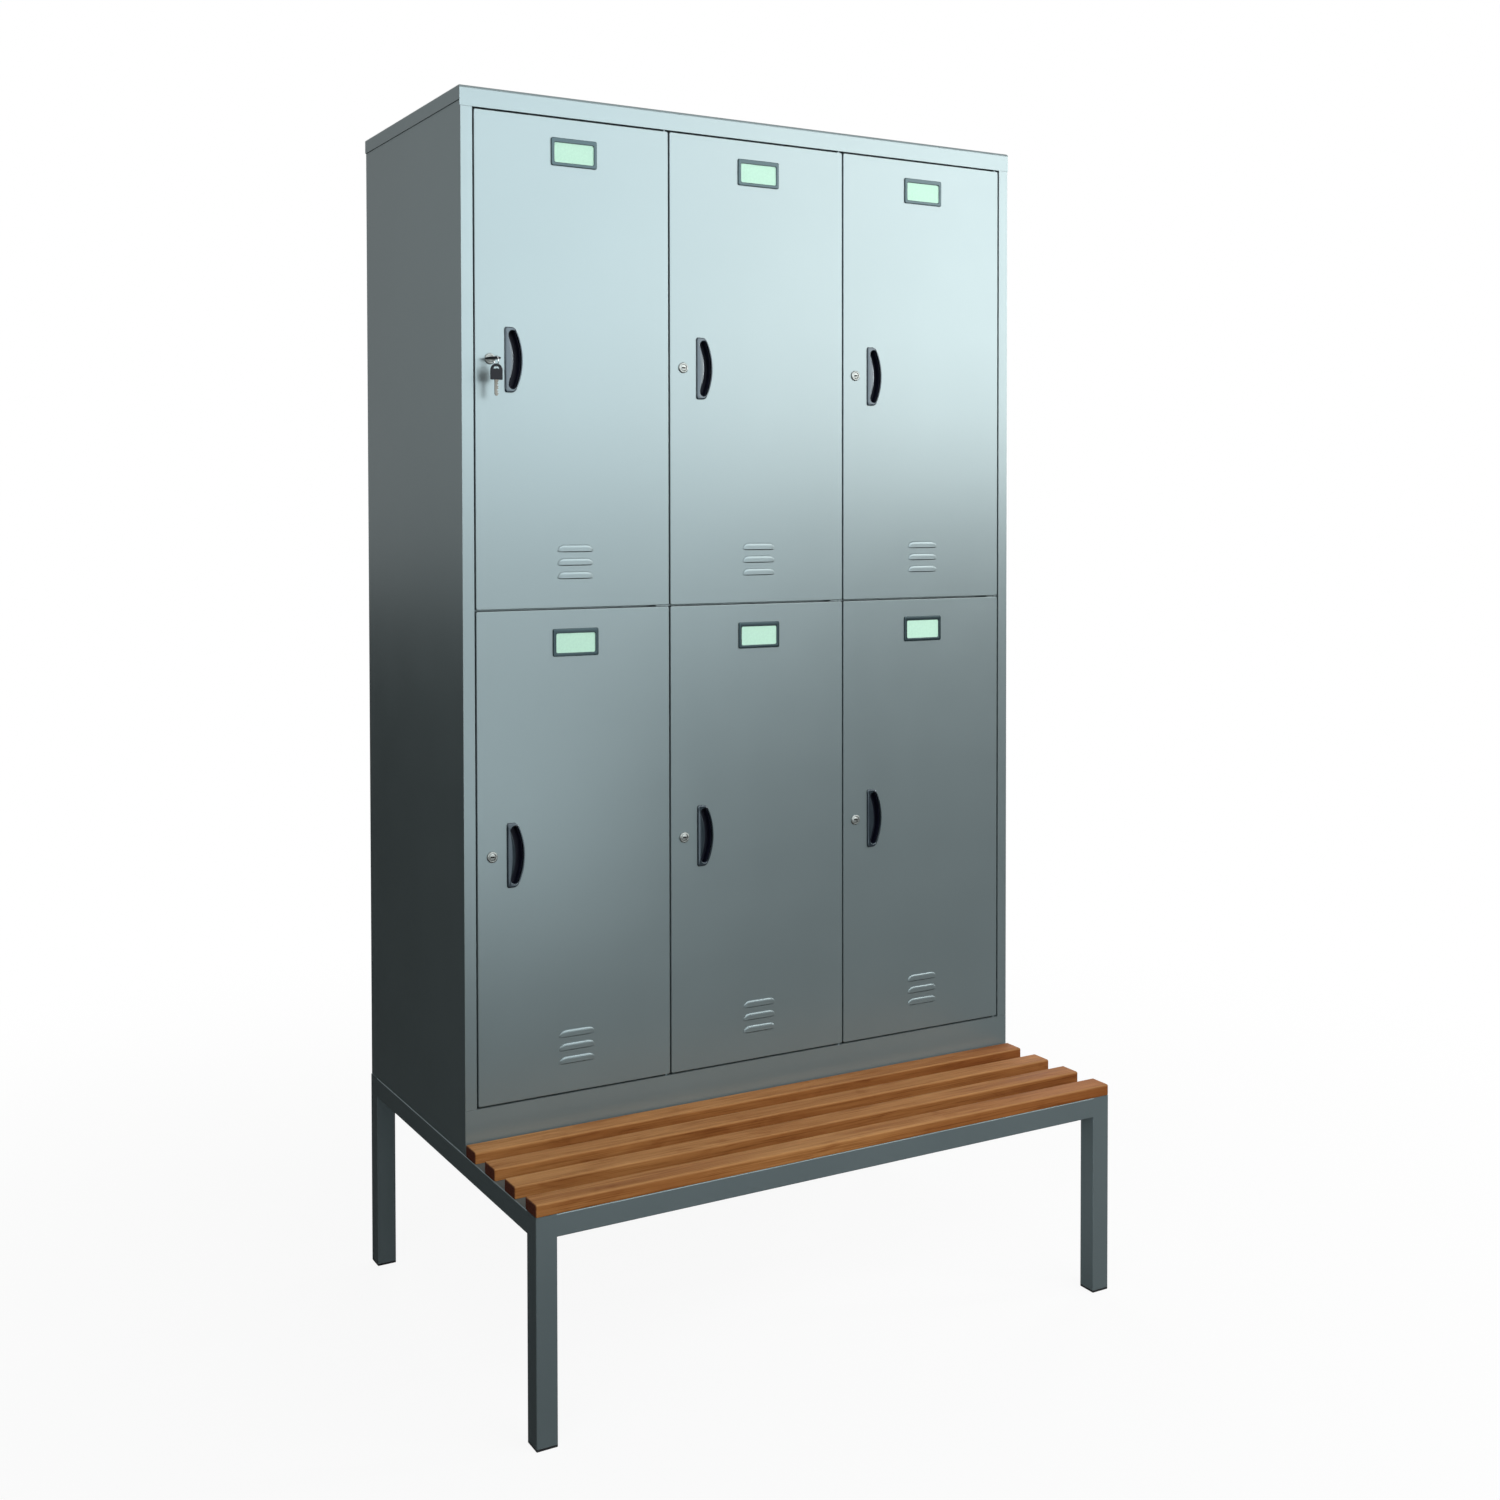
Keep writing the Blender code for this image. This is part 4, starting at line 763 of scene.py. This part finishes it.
def turned(profile, sides=48):
    """Bmesh of a closed profile of radius and depth, turned about the Y axis."""
    rings = []
    for i in range(sides):
        turn = 2 * math.pi * i / sides
        rings.append([(r * math.cos(turn), y, r * math.sin(turn)) for r, y in profile])
    return loft(rings, closed=True)


def stacked(profile, sides):
    """Bmesh through round or many-sided outlines of a profile of depth and radius."""
    return loft([set_back(circle((0, 0), r, sides), y) for y, r in profile])


def slot_outline(half):
    """A narrow upright or level slot about the middle, from its half length and half width."""
    return [(-half[0], -half[1]), (half[0], -half[1]), (half[0], half[1]), (-half[0], half[1])]


def plated(name, colour, shade, gloss, scratch):
    """Plated metal with faint rubbing marks."""
    made, tree, bsdf = shader(name)
    cloud = grain(tree, (1, 1, 1), {"Scale": 60.0, "Detail": 3.0})
    base_colour(tree, bsdf, cloud.outputs["Fac"], [(0.3, shade), (0.7, colour)])
    rub = grain(tree, (1, 12, 1), {"Scale": scratch, "Detail": 4.0})
    spread(tree, rub.outputs["Fac"], gloss - 0.04, gloss + 0.10, bsdf.inputs["Roughness"])
    relief(tree, bsdf, rub.outputs["Fac"], 0.05, 0.0001)
    bsdf.inputs["Metallic"].default_value = 1.0
    return made


chrome = plated("chrome_plate", CHROME_COLOUR, CHROME_SHADE, CHROME_GLOSS, scratch=240.0)
zinc = plated("zinc_plate", ZINC_COLOUR, ZINC_SHADE, ZINC_GLOSS, scratch=320.0)
barrel_mesh = to_mesh(turned(BARREL_PROFILE), "barrel", crease=40)
nut_hole = prism(circle((0, 0), NUT_BORE, 36), "Y", *NUT_HOLE)
nut_mesh = carve(to_mesh(stacked(NUT_PROFILE, 6), "nut"), [nut_hole], "DIFFERENCE")
keyway = prism(slot_outline(KEYWAY), "Y", *KEYWAY_RUN)
plug_mesh = carve(to_mesh(stacked(PLUG_PROFILE, 48), "plug", crease=25), [keyway], "DIFFERENCE")
cam_outline = ring_arc((0, 0), CAM_HALF, 0, 180, 16) + [(-CAM_HALF, -CAM_STRAIGHT)]
cam_outline += ring_arc((-CAM_ROUND, -CAM_REACH), CAM_ROUND, 180, 270, 5)
cam_outline += ring_arc((CAM_ROUND, -CAM_REACH), CAM_ROUND, 270, 360, 5) + [(CAM_HALF, -CAM_STRAIGHT)]
cam_mesh = to_mesh(loft([[(a * s, y, b * s) for a, b in cam_outline] for y, s in CAM_PROFILE]), "cam")
screw_slot = prism(slot_outline(SCREW_SLOT), "Y", *SCREW_SLOT_RUN)
screw_mesh = carve(to_mesh(stacked(SCREW_PROFILE, 24), "screw"), [screw_slot], "DIFFERENCE")
for number in range(1, 7):
    at = corners[number] + Vector((LOCK_LEFT, 0.0, pull_at[1]))
    leaf, lock = f"door_leaf_{number}", f"lock_{number}"
    show(f"lock_barrel_{number}_bezel", barrel_mesh, chrome, leaf,
         (f"lock_barrel_{number}",), at)
    show(f"lock_nut_{number}", nut_mesh, zinc, leaf, (), at)
    show(f"lock_plug_{number}", plug_mesh, chrome, lock, (), at)
    show(f"lock_cam_{number}_plate", cam_mesh, zinc, lock, (f"lock_cam_{number}",), at)
    show(f"lock_screw_{number}", screw_mesh, zinc, lock, (), at)


# Keys: a steel blade in a black moulded head. One key stands level in the first lock, and a wire
# ring through its head carries the spare, which hangs face to the front.
HEAD = (0.0215, 0.027, 0.003)
HEAD_ARCH = 0.0110
HEAD_RIM = 0.004
EYE = (0.0054, 0.0048)
BLADE = (0.007, 0.002)
NECK = 0.002
SPARE_BLADE = 0.027
RING = (0.009, 0.0007)
RING_SIDES = 48
SEAM = 0.0003
BEZEL_STAND = 0.0025
HEAD_LAYERS = ((-0.0015, 0.93), (-0.0013, 0.97), (-0.0009, 1.0),
               (0.0009, 1.0), (0.0013, 0.97), (0.0015, 0.93))
HEAD_CORNER = 0.001
EYE_BROW = ((-0.5, 0.0002), (0.0, 0.0009), (0.5, 0.0002))
EYE_RUN = (-0.004, 0.004)
TANG = 0.004
KEY_CUTS = (0.30, 0.45, 0.20, 0.40, 0.25)
CUT_STEPS = (0.15, 0.45, 0.7)
CUT_STOP = 0.0015
GROOVE_SPAN = (0.75, 0.35)
GROOVE_FLOOR = 0.4
IN_PLUG = 0.0142
KEY_COLOUR = (0.012, 0.013, 0.019)
KEY_SHADE = (0.008, 0.009, 0.013)
KEY_GLOSS = 0.45
KEY_SHINE = 0.15
BLADE_COLOUR = (0.15, 0.145, 0.13)
BLADE_SHADE = (0.09, 0.085, 0.075)
BLADE_GLOSS = 0.34
RING_COLOUR = (0.70, 0.70, 0.70)
RING_SHADE = (0.58, 0.58, 0.58)
RING_GLOSS = 0.15


def key_head():
    """Head of a key in the plane of its blade, its shoulder at the origin and its arch upwards."""
    half = HEAD[0] / 2
    base = HEAD[1] - HEAD_ARCH
    outline = [(-half + HEAD_CORNER, 0.0), (half - HEAD_CORNER, 0.0), (half, HEAD_CORNER)]
    outline += [(half * a, base + HEAD_ARCH * b) for a, b in ring_arc((0.0, 0.0), 1.0, 0, 180, 24)]
    outline.append((-half, HEAD_CORNER))
    middle = HEAD[1] / 2
    rings = [[(a * s, (b - middle) * s + middle, t) for a, b in outline] for t, s in HEAD_LAYERS]
    brow = HEAD[1] - HEAD_RIM - EYE[1]
    eye = [(EYE[0] * a, brow + EYE[1] * b) for a, b in ring_arc((0.0, 0.0), 1.0, 0, 180, 20)]
    eye += [(EYE[0] * a, brow + b) for a, b in EYE_BROW]
    return carve(to_mesh(loft(rings), "key_head"), [prism(eye, "Z", *EYE_RUN)], "DIFFERENCE")


def key_blade(length):
    """Cut blade of a key, pointing down from its shoulder, with a groove milled along it."""
    half = BLADE[0] / 2
    outline = [(-half, TANG), (-half, -length + half), (-half / 4, -length), (half / 4, -length)]
    pitch = (length - BLADE[0]) / len(KEY_CUTS)
    for i, cut in enumerate(KEY_CUTS):
        at = -length + BLADE[0] / 2 + i * pitch
        deep = half - BLADE[0] * cut
        outline += [(a, at + pitch * step) for a, step in zip((half, deep, deep), CUT_STEPS)]
    outline += [(half, -CUT_STOP), (half, TANG)]
    thin = BLADE[1] / 2
    solid = to_mesh(loft([[(a, b, t) for a, b in outline] for t in (-thin, thin)]), "blade")
    near, far = [-half * share for share in GROOVE_SPAN]
    groove = [(near, 0.0), (far, 0.0), (far, -length), (near, -length)]
    return carve(solid, [prism(groove, "Z", thin * GROOVE_FLOOR, thin * 2)], "DIFFERENCE")


def turn_mesh(mesh, columns, at):
    """A copy of a mesh with its axes set along the given ones, moved into place."""
    made = mesh.copy()
    for vertex in made.vertices:
        a, b, c = vertex.co
        vertex.co = Vector(columns[0]) * a + Vector(columns[1]) * b + Vector(columns[2]) * c + Vector(at)
    return made


key_black = moulded_plastic("key_plastic", KEY_COLOUR, KEY_SHADE, KEY_GLOSS, KEY_SHINE)
blade_steel = plated("key_steel", BLADE_COLOUR, BLADE_SHADE, BLADE_GLOSS, scratch=300.0)
ring_steel = plated("ring_steel", RING_COLOUR, RING_SHADE, RING_GLOSS, scratch=300.0)
lock_at = corners[1] + Vector((LOCK_LEFT, 0.0, pull_at[1]))
shoulder = -SEAM - BEZEL_STAND - NECK
level = ((1, 0, 0), (0, -1, 0), (0, 0, -1))
show("key_head", turn_mesh(key_head(), level, (0, shoulder, 0)), key_black, "lock_1", ("key",),
     lock_at)
show("key_blade", turn_mesh(key_blade(NECK + IN_PLUG), level, (0, shoulder, 0)), blade_steel,
     "lock_1", (), lock_at)
bar = shoulder - HEAD[1] + HEAD_RIM / 2
inner = RING[0] - RING[1] - SEAM
hang = HEAD[2] / 2 - math.sqrt(inner ** 2 - (HEAD_RIM / 2) ** 2)
rings = []
for i in range(RING_SIDES):
    turn = 2 * math.pi * i / RING_SIDES
    rings.append([(b, bar + a * math.cos(turn), hang + a * math.sin(turn))
                  for a, b in circle((RING[0], 0.0), RING[1], 8)])
ring_mesh = to_mesh(loft(rings, closed=True), "ring", crease=60)
show("key_ring_wire", ring_mesh, ring_steel, "lock_1", ("key_ring",), lock_at)
sag = math.sqrt((RING[0] - RING[1]) ** 2 - (HEAD[2] / 2) ** 2)
spare = hang - sag + SEAM + HEAD_RIM - HEAD[1]
upright = ((1, 0, 0), (0, 0, 1), (0, -1, 0))
show("spare_key_head", turn_mesh(key_head(), upright, (0, bar, spare)), key_black, "hanging_key",
     ("spare_key",), lock_at)
show("spare_key_blade", turn_mesh(key_blade(SPARE_BLADE), upright, (0, bar, spare)), blade_steel,
     "hanging_key", (), lock_at)


# Studio: a pale floor that runs into a white background, large soft panes in front from the middle
# to the far right, weaker lamps at the left, behind, and low under the bench, and the camera at the
# height and angle of the photograph. The coat mirrors the white room above a dark ground.
NEUTRAL = (1.0, 0.99, 0.97)
COOL = (0.93, 1.0, 1.03)
LAMPS = (
    ("far_pane", (3.15, -3.1, 2.75), (3.15, 0.0, 2.75), (1.5, 2.4), 5.2, NEUTRAL),
    ("high_pane", (1.9, -3.1, 2.75), (1.9, 0.0, 2.75), (1.0, 2.4), 3.9, NEUTRAL),
    ("near_pane", (0.55, -3.1, 2.75), (0.55, 0.0, 2.75), (1.7, 2.4), 3.45, COOL),
    ("middle_pane", (1.5, -3.1, 1.175), (1.5, 0.0, 1.175), (0.8, 0.75), 1.2, COOL),
    ("middle_near_pane", (0.4, -3.1, 1.175), (0.4, 0.0, 1.175), (1.4, 0.75), 1.3, COOL),
    ("low_near_pane", (0.4, -3.1, 0.425), (0.4, 0.0, 0.425), (1.4, 0.75), 2.2, COOL),
    ("right_strip", (4.2, -1.6, 2.15), (0.0, -0.2, 1.7), (0.25, 1.0), 40.0, NEUTRAL),
    ("under_bench_lamp", (-0.40, -0.22, 0.18), (0.6, -0.22, 0.18), (0.3, 0.28), 1.0, COOL),
    ("left_lamp", (-3.2, -3.6, 2.6), (-0.3, -0.2, 1.4), (2.5, 2.5), 3.1, COOL),
    ("high_left_lamp", (-1.2, -1.2, 4.4), (-0.4, -0.4, 0.4), (1.4, 1.0), 3.5, NEUTRAL),
    ("rear_pane", (1.4, 3.4, 1.9), (0.5, 0.4, 1.3), (2.6, 2.4), 3.0, NEUTRAL),
    ("rear_lamp", (4.6, 1.9, 2.6), (0.0, 0.3, 1.2), (2.0, 2.0), 4.8, NEUTRAL))
UNDER_BENCH_SPREAD = 45
WHITE = (1.0, 1.0, 1.0, 1.0)
FLOOR_HALF = 30.0
FLOOR_FADE = {"From Min": 0.6, "From Max": 3.0, "To Min": 0.91, "To Max": 1.0}
PALE_FLOOR = (0.80, 0.80, 0.80, 1.0)
DARK_GROUND = (0.075, 0.075, 0.075, 1.0)
AMBIENT = ((1.0, 0.97, 0.90, 1.0), 0.09)
SENSOR = 36.0
FAR_END = 200.0
FRAME_PX = 1500.0
FOCAL_PX = 1750.537
HORIZON_PX = 558.614
CAMERA_PLACE = (-1.61629, -2.88433, 1.44099)
CAMERA_TURN = (-0.02313, 0.00138, -0.52141)
floor_shape = bmesh.new()
bmesh.ops.create_grid(floor_shape, x_segments=1, y_segments=1, size=FLOOR_HALF)
floor = bpy.data.objects.new("floor", to_mesh(floor_shape, "floor"))
bpy.context.scene.collection.objects.link(floor)
floor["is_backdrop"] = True
floor_paint, tree, bsdf = shader("floor_paint")
tree.nodes.remove(bsdf)
dark = add(tree, "BsdfDiffuse", {"Color": DARK_GROUND})
matt = add(tree, "BsdfDiffuse", {"Color": PALE_FLOOR})
glow = add(tree, "Emission", {"Color": WHITE, "Strength": 1.0})
spot = add(tree, "TexCoord")
away = add(tree, "VectorMath", operation="LENGTH")
tree.links.new(spot.outputs["Object"], away.inputs[0])
fade = add(tree, "MapRange", FLOOR_FADE, interpolation_type="SMOOTHSTEP")
tree.links.new(away.outputs["Value"], fade.inputs["Value"])
pale = add(tree, "MixShader")
tree.links.new(fade.outputs["Result"], pale.inputs["Fac"])
tree.links.new(matt.outputs["BSDF"], pale.inputs[1])
tree.links.new(glow.outputs["Emission"], pale.inputs[2])
seen = add(tree, "LightPath")
mixed = add(tree, "MixShader")
tree.links.new(seen.outputs["Is Camera Ray"], mixed.inputs["Fac"])
tree.links.new(dark.outputs["BSDF"], mixed.inputs[1])
tree.links.new(pale.outputs["Shader"], mixed.inputs[2])
tree.links.new(mixed.outputs["Shader"], tree.nodes["Material Output"].inputs["Surface"])
floor.data.materials.append(floor_paint)

world = bpy.data.worlds.new("studio")
bpy.context.scene.world = world
world.use_nodes = True
tree = world.node_tree
ambient = tree.nodes["Background"]
ambient.inputs["Color"].default_value, ambient.inputs["Strength"].default_value = AMBIENT
white = add(tree, "Background", {"Color": WHITE, "Strength": 1.0})
seen = add(tree, "LightPath")
shown = seen.outputs["Is Camera Ray"]
for ray in ("Is Transmission Ray", "Is Glossy Ray"):
    larger = add(tree, "Math", operation="MAXIMUM")
    tree.links.new(shown, larger.inputs[0])
    tree.links.new(seen.outputs[ray], larger.inputs[1])
    shown = larger.outputs["Value"]
mixed = add(tree, "MixShader")
tree.links.new(shown, mixed.inputs["Fac"])
tree.links.new(ambient.outputs["Background"], mixed.inputs[1])
tree.links.new(white.outputs["Background"], mixed.inputs[2])
tree.links.new(mixed.outputs["Shader"], tree.nodes["World Output"].inputs["Surface"])

for name, place, aim, size, brightness, colour in LAMPS:
    light = bpy.data.lights.new(name, "AREA")
    light.shape = "RECTANGLE"
    light.size, light.size_y = size
    light.energy = brightness * math.pi * size[0] * size[1]
    light.color = colour
    soft_box = bpy.data.objects.new(name, light)
    bpy.context.scene.collection.objects.link(soft_box)
    soft_box.location = place
    soft_box.rotation_euler = (Vector(aim) - Vector(place)).to_track_quat("-Z", "Y").to_euler()
    soft_box.visible_camera = False
bpy.data.lights["under_bench_lamp"].spread = math.radians(UNDER_BENCH_SPREAD)

bpy.context.scene.view_settings.view_transform = "Standard"
eye = bpy.data.cameras.new("camera")
eye.sensor_width = SENSOR
eye.lens = SENSOR * FOCAL_PX / FRAME_PX
eye.shift_y = -(FRAME_PX / 2 - HORIZON_PX) / FRAME_PX
eye.clip_end = FAR_END
camera = bpy.data.objects.new("camera", eye)
bpy.context.scene.collection.objects.link(camera)
camera.location = CAMERA_PLACE
camera.rotation_mode = "XYZ"
camera.rotation_euler = (math.pi / 2 + CAMERA_TURN[0], CAMERA_TURN[1], CAMERA_TURN[2])
bpy.context.scene.camera = camera

low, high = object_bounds()
